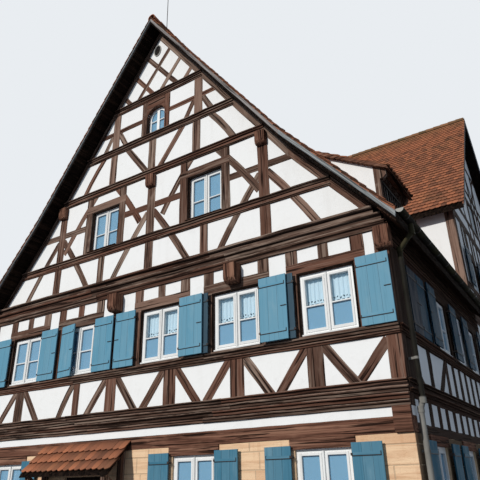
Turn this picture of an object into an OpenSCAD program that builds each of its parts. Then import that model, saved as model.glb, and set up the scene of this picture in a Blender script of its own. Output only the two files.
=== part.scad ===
// A half timbered house: a tall front gable with a higher cross wing behind it.
// Lengths are millimetres, X to the right, Y to the back, Z up.
// The origin is the middle of the plan, at ground level.

/* [Plan] */
// Width over the timbers of the front gable and of the wing
house_w = 11750; // [10900:50:12600]
// Length of the front part, from the gable to the wing
front_l = 8050; // [7400:50:9000]
// Depth of the cross wing
wing_l = 11500; // [10800:50:12200]
// Thickness of the stone walls
masonry_t = 500; // [350:10:650]
// Thickness of the timber framed walls
frame_t = 220; // [160:10:300]
// Depth by which the plaster panels stand back from the timbers
infill_back = 14; // [4:1:30]

/* [Levels] */
// Height of the stone ground floor
masonry_h = 2600; // [2450:10:2900]
// Height of the plate on the stone walls
plate_h = 250; // [180:10:320]
// Height of the plastered strip over the plate
strip_h = 160; // [100:10:240]
// Height of the floor beams
floor_beam_h = 430; // [350:10:520]
// Height of the plate on the stone side walls
side_plate_h = 140; // [100:10:200]
// Height of the floor beams of the side walls
side_beam_h = 290; // [200:10:350]
// Height of the parapet under the windows
parapet_h = 740; // [600:10:900]
// Height of the window sill rail
sill_rail_h = 220; // [160:10:280]
// Height of the upper window openings
window_h = 1220; // [1050:10:1350]
// Height of the rail over the windows
head_h = 260; // [180:10:320]
// Height of the row of small panels over the windows
frieze_h = 290; // [200:10:400]
// Height of the moulded cornice under the gable
cornice_h = 480; // [380:10:560]

/* [Gable] */
// Height from the cornice to the lowest beam of the gable
knee_h = 750; // [600:10:900]
// Height of the beams of the gable
beam_h = 210; // [160:5:260]
// Clear height of the row with the two gable windows
gable_row_h = 1690; // [1500:10:1800]
// Clear height of the row over it
collar_row_h = 950; // [800:10:1100]
// Clear height of the row with the arched window
loft_row_h = 1170; // [1050:10:1300]
// Width of the rafters on the face of the gable
rafter_w = 160; // [120:5:280]
// Width of the posts
post_w = 265; // [200:5:320]
// Width of the braces
brace_w = 175; // [120:5:230]
// How far the long braces bend away from a straight line
brace_bow = 30; // [0:5:60]
// Width of the bars of the lattice in the gable's tip
lattice_w = 140; // [90:5:180]
// How far the beam heads stand out
beam_head_out = 240; // [120:10:300]
// Width of the beam heads
beam_head_w = 290; // [200:10:420]
// Width of the oval vent in the gable's tip
vent_w = 220; // [160:10:260]
// Height of the vent
vent_h = 360; // [240:10:420]

/* [Roof] */
// Pitch of the front part's roof in degrees
roof_pitch = 54.5; // [50:0.5:57]
// Pitch of its foot in degrees
foot_pitch = 50; // [44:0.5:52]
// Width of the flatter foot inside the wall
foot_run = 1875; // [1500:25:2200]
// Thickness of the roof with its tiles
roof_t = 180; // [140:5:220]
// How far the eaves stand out from the walls
eave_out = 330; // [250:5:550]
// How far the roof stands out over the gables
verge_out = 400; // [250:10:550]
// Thickness of the verge boards
verge_board_t = 35; // [25:1:60]
// Depth of the verge boards, measured upright
verge_board_h = 125; // [90:5:260]
// Height of the tile edges that show over the verge boards
tile_edge = 120; // [60:5:150]
// Outer radius of the ridge tiles
ridge_r = 130; // [100:5:170]
// Thickness of the ridge tiles
ridge_t = 22; // [15:1:35]
// Pitch of the wing's roof in degrees
wing_pitch = 48.9; // [45:0.1:52]
// How far the wing's eaves stand out
wing_eave_out = 310; // [200:10:450]
// Height of the wing's wall over the front cornice
wing_wall_h = 3480; // [3200:10:3800]

/* [Dormer] */
// Distance of the dormer behind the front gable
dormer_y = 600; // [300:10:1500]
// Width of the dormer
dormer_w = 1520; // [1300:10:2200]
// How far the dormer's front stands inside the wall
dormer_back = 140; // [100:5:400]
// Width of the dormer's posts
dormer_post = 115; // [90:5:200]
// Pitch of the dormer's roof in degrees
dormer_pitch = 30; // [25:0.5:34]
// Thickness of the dormer's roof
dormer_roof_t = 110; // [80:5:140]
// How far the dormer's eave stands out
dormer_eave = 225; // [150:5:420]
// How far the dormer's roof stands out at its sides
dormer_verge = 100; // [60:5:180]
// Height of the balustrade in the dormer's opening, over the roof
balustrade_h = 650; // [450:10:750]
// Number of its upright slats
slat_count = 8; // [5:1:12]
// Width of the slats
slat_w = 45; // [30:5:90]

/* [Windows and doors] */
// Width of the upper window openings
window_w = 1130; // [950:10:1200]
// Height of the gable window openings
gable_window_h = 1230; // [1050:10:1300]
// Width of the gable window openings
gable_window_w = 1010; // [850:10:1100]
// Width of the arched loft window
loft_window_w = 640; // [500:10:700]
// Height of the sills of the ground floor windows
ground_sill = 1180; // [1000:10:1250]
// Height of the ground floor window openings
ground_window_h = 1250; // [1050:10:1300]
// Width of the ground floor window openings
ground_window_w = 1050; // [900:10:1150]
// How far the lintels run into the stone on each side
lintel_end = 90; // [60:5:140]
// Depth of the windows behind the timbers
window_back = 50; // [25:5:90]
// Depth of the gable's windows behind the timbers
gable_window_back = 130; // [50:5:145]
// Distance of the first side window's middle from the front gable
first_side_window = 1420; // [1400:10:1500]
// Distance of the last side window's middle from the wing
last_side_window = 1450; // [1400:10:1600]
// Thickness of the window frames
sash_t = 65; // [45:5:80]
// Width of the outer window frames
sash_w = 75; // [50:5:95]
// Width of the middle upright of the windows
mullion_w = 90; // [60:5:120]
// Thickness of the glass
glass_t = 6; // [4:1:10]
// Width of a shutter
shutter_w = 620; // [520:10:660]
// Thickness of a shutter
shutter_t = 30; // [20:1:40]
// Distance of a shutter from the wall
shutter_off = 60; // [40:5:90]
// Height of the iron straps on a shutter
strap_h = 34; // [20:2:50]
// Angle by which the second window's left shutter stands open
ajar_angle = 8; // [0:1:20]
// Width of the entrance
door_w = 1150; // [950:10:1300]
// Height of the entrance
door_h = 2100; // [1950:10:2200]
// Thickness of the entrance's leaf
door_leaf_t = 60; // [40:5:80]
// Distance of the entrance's middle from the middle of the first ground floor window
door_off = 2650; // [2600:10:2750]

/* [Porch roof] */
// Width of the small roof over the entrance
porch_w = 2800; // [2200:50:3000]
// How far it stands out
porch_out = 620; // [450:10:800]
// Pitch of the small roof in degrees
porch_pitch = 45; // [35:1:50]
// Thickness of the small roof
porch_t = 80; // [60:5:110]

/* [Rainwater] */
// Outer radius of the gutters
gutter_r = 75; // [55:5:95]
// Thickness of the gutters
gutter_t = 4; // [3:0.5:8]
// Radius of the downpipes
pipe_r = 48; // [35:1:60]
// How far the gutters hang under the edge of the tiles
gutter_drop = 90; // [40:5:120]
// Distance of the downpipes from the timbers, clear of the mouldings
pipe_off = 90; // [85:5:120]
// Distance of the downpipes from the stone walls
pipe_foot_off = 35; // [20:5:80]
// Distance of the downpipes behind the front gable
pipe_y = 220; // [150:10:260]

/* [Floors and fittings] */
// Thickness of the floors
floor_t = 200; // [150:10:260]
// Thickness of the ground slab
slab_t = 150; // [100:10:250]
// Height of the rod on the front end of the ridge
rod_h = 1300; // [800:50:1500]
// Radius of the rod
rod_r = 11; // [8:1:20]

/* [Hidden] */
$fn = 48;

timber = [0.30, 0.19, 0.15];
plaster = [0.93, 0.93, 0.91];
sandstone = [0.80, 0.63, 0.43];
tile = [0.62, 0.33, 0.20];
shutter_blue = [0.42, 0.58, 0.68];
zinc = [0.60, 0.62, 0.62];
clear_glass = [0.75, 0.85, 0.92, 0.5];

// Places worked out from the sizes
half_w = house_w / 2;
total_l = front_l + wing_l;
front_y = -total_l / 2;
wing_mid = front_l + wing_l / 2;
far = 40000;

// Levels from the ground up
strip_z = masonry_h + plate_h;
floor_z = strip_z + strip_h;
sill_z = floor_z + floor_beam_h;
rail_z = sill_z + parapet_h;
window_z = rail_z + sill_rail_h;
head_z = window_z + window_h;
frieze_z = head_z + head_h;
cornice_z = frieze_z + frieze_h;
gable_z = cornice_z + cornice_h;
knee_z = gable_z + knee_h;
row_z = knee_z + beam_h;
collar_z = row_z + gable_row_h;
upper_row_z = collar_z + beam_h;
high_z = upper_row_z + collar_row_h;
loft_z = high_z + beam_h;
tip_z = loft_z + loft_row_h;

// Roof of the front part: its underside leaves the wall's face at eave_z
plate_rise = 277;
eave_z = cornice_z + plate_rise;
kink_x = half_w - foot_run;
kink_z = eave_z + foot_run * tan(foot_pitch);
peak_z = kink_z + kink_x * tan(roof_pitch);
roof_dz = roof_t / cos(roof_pitch);
function under(x) = x > kink_x
    ? eave_z + (half_w - x) * tan(foot_pitch)
    : peak_z - x * tan(roof_pitch);
function under_x(z) = z > kink_z
    ? (peak_z - z) / tan(roof_pitch)
    : half_w - (z - eave_z) / tan(foot_pitch);

// Roof of the wing, over Y measured from the front gable
wing_eave_z = gable_z + wing_wall_h;
wing_half = wing_l / 2;
wing_peak_z = wing_eave_z + wing_half * tan(wing_pitch);
wing_dz = roof_t / cos(wing_pitch);
function wing_under(d) = wing_peak_z - d * tan(wing_pitch);

// Places on the front: the windows and posts from its left end, its middle or its right end
left_windows = [1665, 3665];
middle_window = 490;
right_windows = [3340, 1285];
left_beam_post = -890;
middle_struts = [-950, 800];
outer_strut = 1625;
plain_post = -2100;
outer_post = half_w - 2535;

// Windows as [middle, sill, width, height] on the plane of their wall. An open shutter leaves
// shutter_gap beside its window, and a ground floor leaf covers half of its window.
shutter_gap = 90;
ground_leaf_w = ground_window_w / 2 + 5;
ground_leaf_gap = 40;
ground_pitch = ground_window_w + 2 * (ground_leaf_w + ground_leaf_gap) + 240;
front_centres = [
    left_windows[0] - half_w, left_windows[1] - half_w, middle_window,
    half_w - right_windows[0], half_w - right_windows[1]
];
side_centres = [
    first_side_window, first_side_window + window_w + shutter_w + 2 * shutter_gap,
    front_l - last_side_window
];
wing_side_centres = [for (u = [0.152, 0.378, 0.622, 0.857]) front_l + u * wing_l];
back_centres = half_w * [-0.715, -0.29, 0.29, 0.715];
ground_centres = [outer_strut - half_w, 1480, half_w - outer_strut];
ground_side_centres = [
    for (k = [0:2]) first_side_window + k * ground_pitch,
    for (u = [0.187, 0.448, 0.743]) front_l + u * wing_l
];
row_centres = [-1655, 1690];
// Posts of the front: under the two beam heads, and those with raking struts
beam_posts = [left_beam_post, half_w - right_windows[0]];
strut_posts = [
    outer_strut - half_w, middle_struts[0], middle_struts[1], half_w - right_windows[0],
    half_w - outer_strut
];
door_x = ground_centres[0] + door_off;
function row(centres, z, w, h) = [for (c = centres) [c, z, w, h]];
front_windows = row(front_centres, window_z, window_w, window_h);
side_windows = row(concat(side_centres, wing_side_centres), window_z, window_w, window_h);
back_windows = row(back_centres, window_z, window_w, window_h);
gable_windows = row(row_centres, row_z, gable_window_w, gable_window_h);
ground_windows = row(ground_centres, ground_sill, ground_window_w, ground_window_h);
ground_side_windows = row(ground_side_centres, ground_sill, ground_window_w, ground_window_h);
ground_back_windows = row(back_centres, ground_sill, ground_window_w, ground_window_h);
wing_second_z = window_z + (cornice_z - floor_z);
wing_windows = row(wing_side_centres, wing_second_z, window_w, window_h);
wing_back_windows = row(back_centres, wing_second_z, window_w, window_h);
wing_loft_off = 1300;
wing_loft_sill = 640;
wing_collar_h = 2400;
wing_high_h = 1800;
wing_loft_z = wing_eave_z + wing_loft_sill;
wing_collar_z = wing_eave_z + wing_collar_h;
wing_high_z = wing_collar_z + wing_high_h;
wing_loft_centres = [wing_mid - wing_loft_off, wing_mid + wing_loft_off];
wing_loft_windows = row(wing_loft_centres, wing_loft_z, gable_window_w, gable_window_h);
wing_rail_h = 180;
wing_top_rail_h = 300;
cross_top_rail_h = 100;
// Upper end, foot and height of the wing gable's outer braces
wing_brace = [3400, 2600, 1500];

// The planes of the walls: local X runs along the wall, local Y is up and local Z points out
module on_front() {
    translate([0, front_y, 0]) rotate([90, 0, 0]) children();
}
module on_right() {
    translate([half_w, front_y, 0]) rotate([90, 0, 90]) children();
}
module on_left() {
    mirror([1, 0, 0]) on_right() children();
}
module on_back() {
    translate([0, -front_y, 0]) rotate([90, 0, 180]) children();
}
module on_cross() {
    translate([0, front_y + front_l, 0]) rotate([90, 0, 0]) children();
}
// A wall's thickness, from its face inwards
module inward(t, set_back = 0) {
    translate([0, 0, -t]) linear_extrude(t - set_back) children();
}
// A layer that stands out from the face of a wall
module outward(t, from = 0) {
    translate([0, 0, from]) linear_extrude(t) children();
}
module both_sides() {
    children();
    mirror([1, 0]) children();
}
// A timber from one point of a wall's plane to another, run on a little into its neighbours.
// A bowed one follows half a sine wave, which lifts its middle by bow to the left of its way.
bow_steps = 8;
module bar(a, b, w, bow = 0) {
    d = b - a;
    len = norm(d) + w / 2;
    steps = bow == 0 ? 1 : bow_steps;
    function lift(i) = bow * sin(180 * i / steps);
    translate(a)
        rotate(atan2(d[1], d[0]))
            translate([-w / 4, 0])
                polygon([
                    for (i = [0:steps]) [len * i / steps, lift(i) - w / 2],
                    for (i = [steps:-1:0]) [len * i / steps, lift(i) + w / 2]
                ]);
}
module post(x, z0, z1, w = post_w) {
    translate([x - w / 2, z0]) square([w, z1 - z0]);
}
module rail(x0, x1, z, h) {
    translate([x0, z]) square([x1 - x0, h]);
}
module field(x0, x1, z0, z1) {
    translate([x0, z0]) square([x1 - x0, z1 - z0]);
}
module openings(list) {
    for (o = list) rail(o[0] - o[2] / 2, o[0] + o[2] / 2, o[1], o[3]);
}

// Outlines of the walls, on their own planes
module front_outline() {
    field(-half_w, half_w, masonry_h, cornice_z);
}
module gable_outline() {
    polygon([
        [-under_x(gable_z), gable_z], [under_x(gable_z), gable_z], [kink_x, kink_z],
        [0, peak_z], [-kink_x, kink_z]
    ]);
}
module side_outline() {
    field(frame_t, total_l, masonry_h, cornice_z);
}
module wing_side_outline() {
    polygon([
        [front_l, cornice_z], [total_l, cornice_z], [total_l, wing_eave_z],
        [wing_mid, wing_peak_z], [front_l, wing_eave_z]
    ]);
}
module cross_outline() {
    field(-half_w + frame_t, half_w - frame_t, masonry_h, wing_eave_z);
}
module arched_opening() {
    r = loft_window_w / 2;
    spring = loft_z + loft_window_h() - r;
    intersection() {
        union() {
            field(-r, r, loft_z, spring);
            translate([0, spring]) circle(r);
        }
        field(-r, r, loft_z, tip_z);
    }
}
function loft_window_h() = loft_row_h - 270;

// One storey of timbers between two levels: floor beam, sill rail, posts, corner braces and, at
// each window, jamb posts, a rail over it and a short post over its middle. Where low is true the
// jamb posts run down through the parapet, with a post under the window's middle.
corner_reach = 560;
module storey(x0, x1, z0, z1, centres, w, beam = floor_beam_h, low = true) {
    sill = z0 + floor_beam_h + parapet_h;
    lintel = sill + sill_rail_h + window_h;
    rail(x0, x1, z0 + floor_beam_h - beam, beam);
    rail(x0, x1, sill, sill_rail_h);
    post(x0 + post_w / 2, z0, z1);
    post(x1 - post_w / 2, z0, z1);
    bar([x0 + post_w, sill], [x0 + post_w + corner_reach, z0 + floor_beam_h], brace_w);
    bar([x1 - post_w, sill], [x1 - post_w - corner_reach, z0 + floor_beam_h], brace_w);
    for (c = centres) {
        rail(c - w / 2 - post_w, c + w / 2 + post_w, lintel, head_h);
        for (s = [-1, 1]) post(c + s * (w + post_w) / 2, low ? z0 : sill, z1);
        if (low) post(c, z0, sill);
        post(c, lintel, z1, post_w * 0.8);
    }
}

// The front storey: its parapet has posts with two raking struts, apart from the window jambs
strut_top = 90;
strut_reach = [200, 740];
module front_timbers() {
    rail(-half_w, half_w, masonry_h, plate_h);
    rail(-half_w, half_w, floor_z, floor_beam_h);
    rail(-half_w, half_w, rail_z, sill_rail_h);
    for (s = [-1, 1]) {
        post(s * (half_w - post_w / 2), floor_z, cornice_z);
        bar(
            [s * (half_w - post_w), rail_z - strut_top],
            [s * (half_w - post_w - corner_reach), sill_z],
            brace_w
        );
    }
    for (x = strut_posts) {
        post(x, sill_z, rail_z, post_w * 1.25);
        for (s = [-1, 1])
            bar([x + s * strut_reach[0], rail_z - 30], [x + s * strut_reach[1], sill_z], brace_w * 1.05);
    }
    post(plain_post, sill_z, rail_z, post_w * 0.8);
    bar([plain_post - post_w / 2, rail_z], [plain_post - corner_reach, sill_z], brace_w, -brace_bow);
    // Window jambs and rails, and the posts under the beam heads
    for (c = front_centres) {
        rail(c - window_w / 2 - post_w, c + window_w / 2 + post_w, head_z, head_h);
        for (s = [-1, 1]) post(c + s * (window_w + post_w) / 2, window_z, cornice_z);
        post(c, frieze_z, cornice_z, post_w * 0.8);
    }
    for (x = beam_posts) post(x, window_z, cornice_z, post_w * 1.15);
}

// The gable: rafters, four beams, posts, and braces given from their upper to their lower end
gable_rail_z = row_z + 720;
loft_rail_z = loft_z + 500;
jamb_w = 240;
module gable_braces() {
    for (x = [-outer_post, 0, outer_post])
        for (s = [-1, 1])
            bar([x + s * 120, gable_rail_z - 120], [x + s * 1210, gable_z], brace_w, s * brace_bow);
    for (c = row_centres) {
        s = sign(c);
        bar([c - s * 430, collar_z], [c - s * 1270, gable_rail_z - 230], brace_w, -s * brace_bow);
        bar([c + s * 430, collar_z], [c + s * 1500, gable_rail_z - 460], brace_w, s * brace_bow);
    }
    both_sides() {
        bar([960, high_z], [230, upper_row_z], brace_w);
        bar([1910, high_z], [2560, upper_row_z], brace_w, brace_bow);
        for (x = [-1340, -1620]) bar([x, loft_rail_z], [x + 2 * (x + 1480), loft_z], brace_w * 0.9);
    }
}
module gable_posts() {
    for (x = [row_centres[0], row_centres[1]]) post(x, gable_z, knee_z, post_w * 0.85);
    for (x = [-outer_post, 0, outer_post]) post(x, gable_z, collar_z);
    for (c = row_centres)
        for (s = [-1, 1])
            post(c + s * (gable_window_w + jamb_w) / 2, row_z, collar_z, jamb_w);
    for (x = [-1490, -60, 1430]) post(x, upper_row_z, high_z, post_w * 0.95);
    for (x = [-1480, 1480]) post(x, loft_z, tip_z);
    both_sides() post(loft_window_w / 2 + 90, loft_z, tip_z, 180);
}
// Bars of the tip, parallel to the rafters
module lattice() {
    foot_z = tip_z + beam_h;
    both_sides()
        for (k = [0:2]) {
            head = [-480 - k * 400, peak_z - 730 - k * 570];
            bar(head, [head[0] + (head[1] - foot_z) / tan(roof_pitch - 3), foot_z], lattice_w);
        }
}
module gable_timbers() {
    rafter_dz = rafter_w / cos(roof_pitch);
    both_sides()
        polygon([
            [0, peak_z], [kink_x, kink_z], [half_w, eave_z],
            [half_w, eave_z - rafter_dz], [kink_x, kink_z - rafter_dz], [0, peak_z - rafter_dz]
        ]);
    for (z = [knee_z, collar_z, high_z, tip_z]) rail(-half_w, half_w, z, beam_h);
    rail(-half_w, half_w, gable_rail_z, brace_w);
    rail(-half_w, half_w, loft_rail_z, brace_w * 0.85);
    lintel_reach = (gable_window_w + jamb_w) / 2;
    for (c = row_centres) rail(c - lintel_reach, c + lintel_reach, row_z + gable_window_h, beam_h);
    rail(-loft_window_w / 2, loft_window_w / 2, loft_z + loft_window_h() - 150, 420);
    gable_posts();
    gable_braces();
    lattice();
}

// A side wall over both parts: the frieze under its floor beams has short posts. The front part
// has a broad timber from its corner to the first window, and solid timber over its windows. In
// its parapet a brace leans between the first post and the close set ones behind it.
frieze_pitch = 600;
parapet_first = 1680;
parapet_second = 3030;
parapet_pitch = 620;
side_strut = 740;
module side_timbers() {
    beam_z = sill_z - side_beam_h;
    rail(0, total_l, masonry_h, side_plate_h);
    for (x = [frieze_pitch:frieze_pitch:total_l - post_w]) post(x, masonry_h, beam_z, post_w * 0.7);
    storey(0, front_l, floor_z, cornice_z, side_centres, window_w, side_beam_h, false);
    storey(front_l, total_l, floor_z, cornice_z, wing_side_centres, window_w, side_beam_h);
    field(0, first_side_window - window_w / 2 - post_w, sill_z, cornice_z);
    rail(0, front_l, head_z, head_h + frieze_h);
    post(parapet_first, sill_z, rail_z, post_w * 0.8);
    for (x = [parapet_second:parapet_pitch:front_l - post_w]) post(x, sill_z, rail_z, post_w * 0.75);
    bar([parapet_second, rail_z], [parapet_second - side_strut, sill_z], brace_w);
    bar([post_w, rail_z], [post_w + side_strut, sill_z], brace_w, -2 * brace_bow);
}

// The wing's side over the cornice, with its gable
module wing_side_timbers() {
    rafter_dz = rafter_w / cos(wing_pitch);
    storey(front_l, total_l, cornice_z, wing_eave_z, wing_side_centres, window_w);
    rail(front_l, total_l, wing_eave_z - wing_top_rail_h, wing_top_rail_h);
    for (x = [front_l + 1500:1430:total_l - 1000]) post(x, cornice_z, wing_eave_z, post_w * 0.8);
    translate([wing_mid, 0])
        both_sides() {
            polygon([
                [0, wing_peak_z], [wing_half, wing_eave_z],
                [wing_half, wing_eave_z - rafter_dz], [0, wing_peak_z - rafter_dz]
            ]);
            post(0, wing_eave_z, wing_collar_z);
            for (s = [-1, 1])
                post(wing_loft_off + s * (gable_window_w + post_w) / 2, wing_eave_z, wing_collar_z);
            post(700, wing_collar_z, wing_high_z);
            bar([wing_brace[0], wing_eave_z + wing_brace[2]], [wing_brace[1], wing_eave_z], brace_w);
            bar([1200, wing_high_z], [0, wing_collar_z + wing_rail_h], brace_w);
            post(0, wing_high_z, wing_peak_z - rafter_dz / 2);
        }
    for (z = [wing_loft_z - wing_rail_h, wing_loft_z + gable_window_h, wing_collar_z, wing_high_z])
        rail(front_l, total_l, z, wing_rail_h);
}

// Two full storeys of the wing between its side walls, with tall posts through both. The corner
// posts may stand partly in the side walls.
module wing_storeys(centres, posts, top_rail, let_in = 0) {
    w0 = half_w - frame_t + let_in;
    rail(-w0, w0, masonry_h, plate_h);
    storey(-w0, w0, floor_z, cornice_z, centres, window_w);
    storey(-w0, w0, cornice_z, wing_eave_z, centres, window_w);
    rail(-w0, w0, wing_eave_z - top_rail, top_rail);
    for (x = posts) post(x, floor_z, wing_eave_z);
}
module back_timbers() {
    wing_storeys(back_centres, half_w * [-0.5, 0, 0.5], wing_top_rail_h);
}
cross_let_in = 205;
module cross_timbers() {
    posts = half_w * [-0.77, -0.51, -0.255, 0, 0.255, 0.51, 0.77];
    wing_storeys([], posts, cross_top_rail_h, cross_let_in);
}

module back_holes() {
    openings(back_windows);
    openings(wing_back_windows);
}
module wing_side_holes() {
    openings(wing_windows);
    openings(wing_loft_windows);
}
// The vent is an ellipse, its points taken round once
module vent() {
    points = 20;
    polygon([
        for (i = [0:points - 1])
            [vent_w / 2 * cos(360 * i / points) - 50, peak_z - 690 + vent_h / 2 * sin(360 * i / points)]
    ]);
}
module gable_holes() {
    openings(gable_windows);
    arched_opening();
    vent();
}

// A timber wall: its outline is cut to the timbers, or to the panels between them
module timbers(t = frame_t) {
    inward(t)
        difference() {
            intersection() {
                children(0);
                children(1);
            }
            children(2);
        }
}
module panels(t = frame_t) {
    inward(t, infill_back)
        difference() {
            children(0);
            children(1);
            children(2);
        }
}

module frame_front() {
    color(timber) on_front() timbers() {
        front_outline();
        front_timbers();
        openings(front_windows);
    }
}
module frame_gable() {
    color(timber) on_front() timbers() {
        gable_outline();
        gable_timbers();
        gable_holes();
    }
}
module frame_right() {
    color(timber) on_right() timbers() {
        side_outline();
        side_timbers();
        openings(side_windows);
    }
}
module frame_left() {
    mirror([1, 0, 0]) frame_right();
}
module frame_wing_right() {
    color(timber) on_right() timbers() {
        wing_side_outline();
        wing_side_timbers();
        wing_side_holes();
    }
}
module frame_wing_left() {
    mirror([1, 0, 0]) frame_wing_right();
}
module frame_back() {
    color(timber) on_back() timbers() {
        cross_outline();
        back_timbers();
        back_holes();
    }
}
module frame_cross() {
    color(timber) on_cross() timbers() {
        cross_outline();
        cross_timbers();
        union() {}
    }
}

module infill_front() {
    color(plaster) on_front() {
        panels() {
            front_outline();
            front_timbers();
            openings(front_windows);
        }
        panels() {
            gable_outline();
            gable_timbers();
            gable_holes();
        }
    }
}
module side_panels() {
    panels() {
        side_outline();
        side_timbers();
        openings(side_windows);
    }
}
module infill_sides() {
    color(plaster) {
        on_right() side_panels();
        on_left() side_panels();
    }
}
module wing_side_panels() {
    panels() {
        wing_side_outline();
        wing_side_timbers();
        wing_side_holes();
    }
}
module infill_wing() {
    color(plaster) {
        on_right() wing_side_panels();
        on_left() wing_side_panels();
        on_back() panels() {
            cross_outline();
            back_timbers();
            back_holes();
        }
        on_cross() panels() {
            cross_outline();
            cross_timbers();
            union() {}
        }
    }
}

// Stone walls of the ground floor
module doorway() {
    field(door_x - door_w / 2, door_x + door_w / 2, 0, door_h);
}
// Timber lintels over the ground floor windows, let into the stone up to its top
lintel_in = 150;
lintel_out = 20;
module lintels(list, out, spare = 0) {
    foot = ground_sill + ground_window_h;
    reach = ground_window_w / 2 + lintel_end;
    translate([0, 0, -lintel_in])
        linear_extrude(lintel_in + out)
            for (o = list) rail(o[0] - reach, o[0] + reach, foot, masonry_h - foot + spare);
}
// A stone wall: its outline without its openings, and without the lintels' pockets
module stone_wall(list) {
    difference() {
        inward(masonry_t) difference() {
            children();
            openings(list);
        }
        lintels(list, 1, 1);
    }
}
module masonry_front() {
    color(sandstone) on_front() stone_wall(ground_windows) difference() {
        field(-half_w, half_w, 0, masonry_h);
        doorway();
    }
}
module masonry_right() {
    color(sandstone) on_right() stone_wall(ground_side_windows) field(masonry_t, total_l, 0, masonry_h);
}
module masonry_left() {
    mirror([1, 0, 0]) masonry_right();
}
module masonry_back() {
    color(sandstone) on_back() stone_wall(ground_back_windows)
        field(-half_w + masonry_t, half_w - masonry_t, 0, masonry_h);
}
module ground_lintels() {
    color(timber) {
        on_front() lintels(ground_windows, lintel_out);
        on_right() lintels(ground_side_windows, lintel_out);
        on_left() lintels(ground_side_windows, lintel_out);
        on_back() lintels(ground_back_windows, lintel_out);
    }
}
module masonry_cross() {
    color(sandstone) on_cross() inward(masonry_t)
        field(-half_w + masonry_t, half_w - masonry_t, 0, masonry_h);
}

// Floors, one slab before the cross wall and one behind it
module floor_pair(z, t, wall) {
    inner = half_w - wall;
    translate([-inner, front_y + wall, z]) cube([2 * inner, front_l - wall, t]);
    translate([-inner, front_y + front_l + wall, z]) cube([2 * inner, wing_l - 2 * wall, t]);
}
module ground_slab() {
    color(sandstone) floor_pair(0, slab_t, masonry_t);
}
module upper_floor() {
    color(timber) floor_pair(floor_z, floor_t, frame_t);
}
module attic_floor() {
    color(timber) floor_pair(cornice_z, floor_t, frame_t);
}
module loft_floor() {
    inner = under_x(collar_z + floor_t);
    color(timber) {
        translate([-inner, front_y + frame_t, collar_z]) cube([2 * inner, front_l - frame_t, floor_t]);
        translate([-half_w + frame_t, front_y + front_l + frame_t, wing_eave_z - 300])
            cube([house_w - 2 * frame_t, wing_l - 2 * frame_t, floor_t]);
    }
}

// A moulding seen from its end: a plain band, a quarter round and a band over it
module moulding_profile(h, out) {
    r = h * 0.3;
    union() {
        square([out * 0.45, h]);
        translate([0, h - r]) square([out, r]);
        intersection() {
            translate([out * 0.45, h - r]) circle(r * 0.9);
            square([out, h]);
        }
    }
}
// The moulding laid along a wall from x0 to x1, its foot at z
module band(x0, x1, z, h, out) {
    translate([x1, z, 0])
        rotate([0, -90, 0])
            linear_extrude(x1 - x0)
                moulding_profile(h, out);
}
// Bands in tiers: each tier is its foot and height as shares of the whole, and its reach
floor_tiers = [[0, 0.2, 55], [0.25, 0.22, 80], [0.52, 0.2, 60], [0.8, 0.2, 75]];
sill_tiers = [[0, 0.3, 40], [0.4, 0.4, 65]];
beam_tiers = [[0, 0.24, 35], [0.6, 0.4, 60]];
eave_tiers = [[0, 0.3, 45], [0.5, 0.5, 70]];
module tiers(x0, x1, z, h, list) {
    for (t = list) band(x0, x1, z + t[0] * h, t[1] * h, t[2]);
}
// Three tiers under the gable, the upper ones shorter where the roof comes down on them
module cornice_bands(x1) {
    tier = cornice_h / 3;
    for (k = [0:2]) {
        reach = min(x1, under_x(cornice_z + (k + 1) * tier) - 5);
        band(-reach, reach, cornice_z + k * tier, tier, 50 + 35 * k);
    }
}
module mouldings_front() {
    color(timber) on_front() {
        cornice_bands(half_w);
        inward(frame_t) field(-under_x(gable_z), under_x(gable_z), cornice_z, gable_z);
        tiers(-half_w, half_w, floor_z, floor_beam_h, floor_tiers);
        tiers(-half_w, half_w, rail_z, sill_rail_h, sill_tiers);
        for (z = [knee_z, collar_z, high_z, tip_z]) {
            reach = under_x(z + beam_h) - 5;
            tiers(-reach, reach, z, beam_h, beam_tiers);
        }
    }
}
module side_bands() {
    tiers(0, total_l, sill_z - side_beam_h, side_beam_h, [floor_tiers[1], floor_tiers[3]]);
    tiers(0, total_l, rail_z, sill_rail_h, sill_tiers);
    tiers(0, front_l - 5, head_z + head_h, frieze_h, eave_tiers);
}
module mouldings_sides() {
    color(timber) {
        on_right() side_bands();
        on_left() side_bands();
    }
}
module wall_plate() {
    linear_extrude(front_l - frame_t)
        polygon([
            [0, cornice_z], [0, eave_z], [-frame_t, under(half_w - frame_t)],
            [-frame_t, cornice_z]
        ]);
}
module wall_plates() {
    color(timber)
        for (s = [0, 1])
            mirror([s, 0, 0])
                translate([half_w, front_y + front_l, 0])
                    rotate([90, 0, 0])
                        wall_plate();
}

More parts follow.
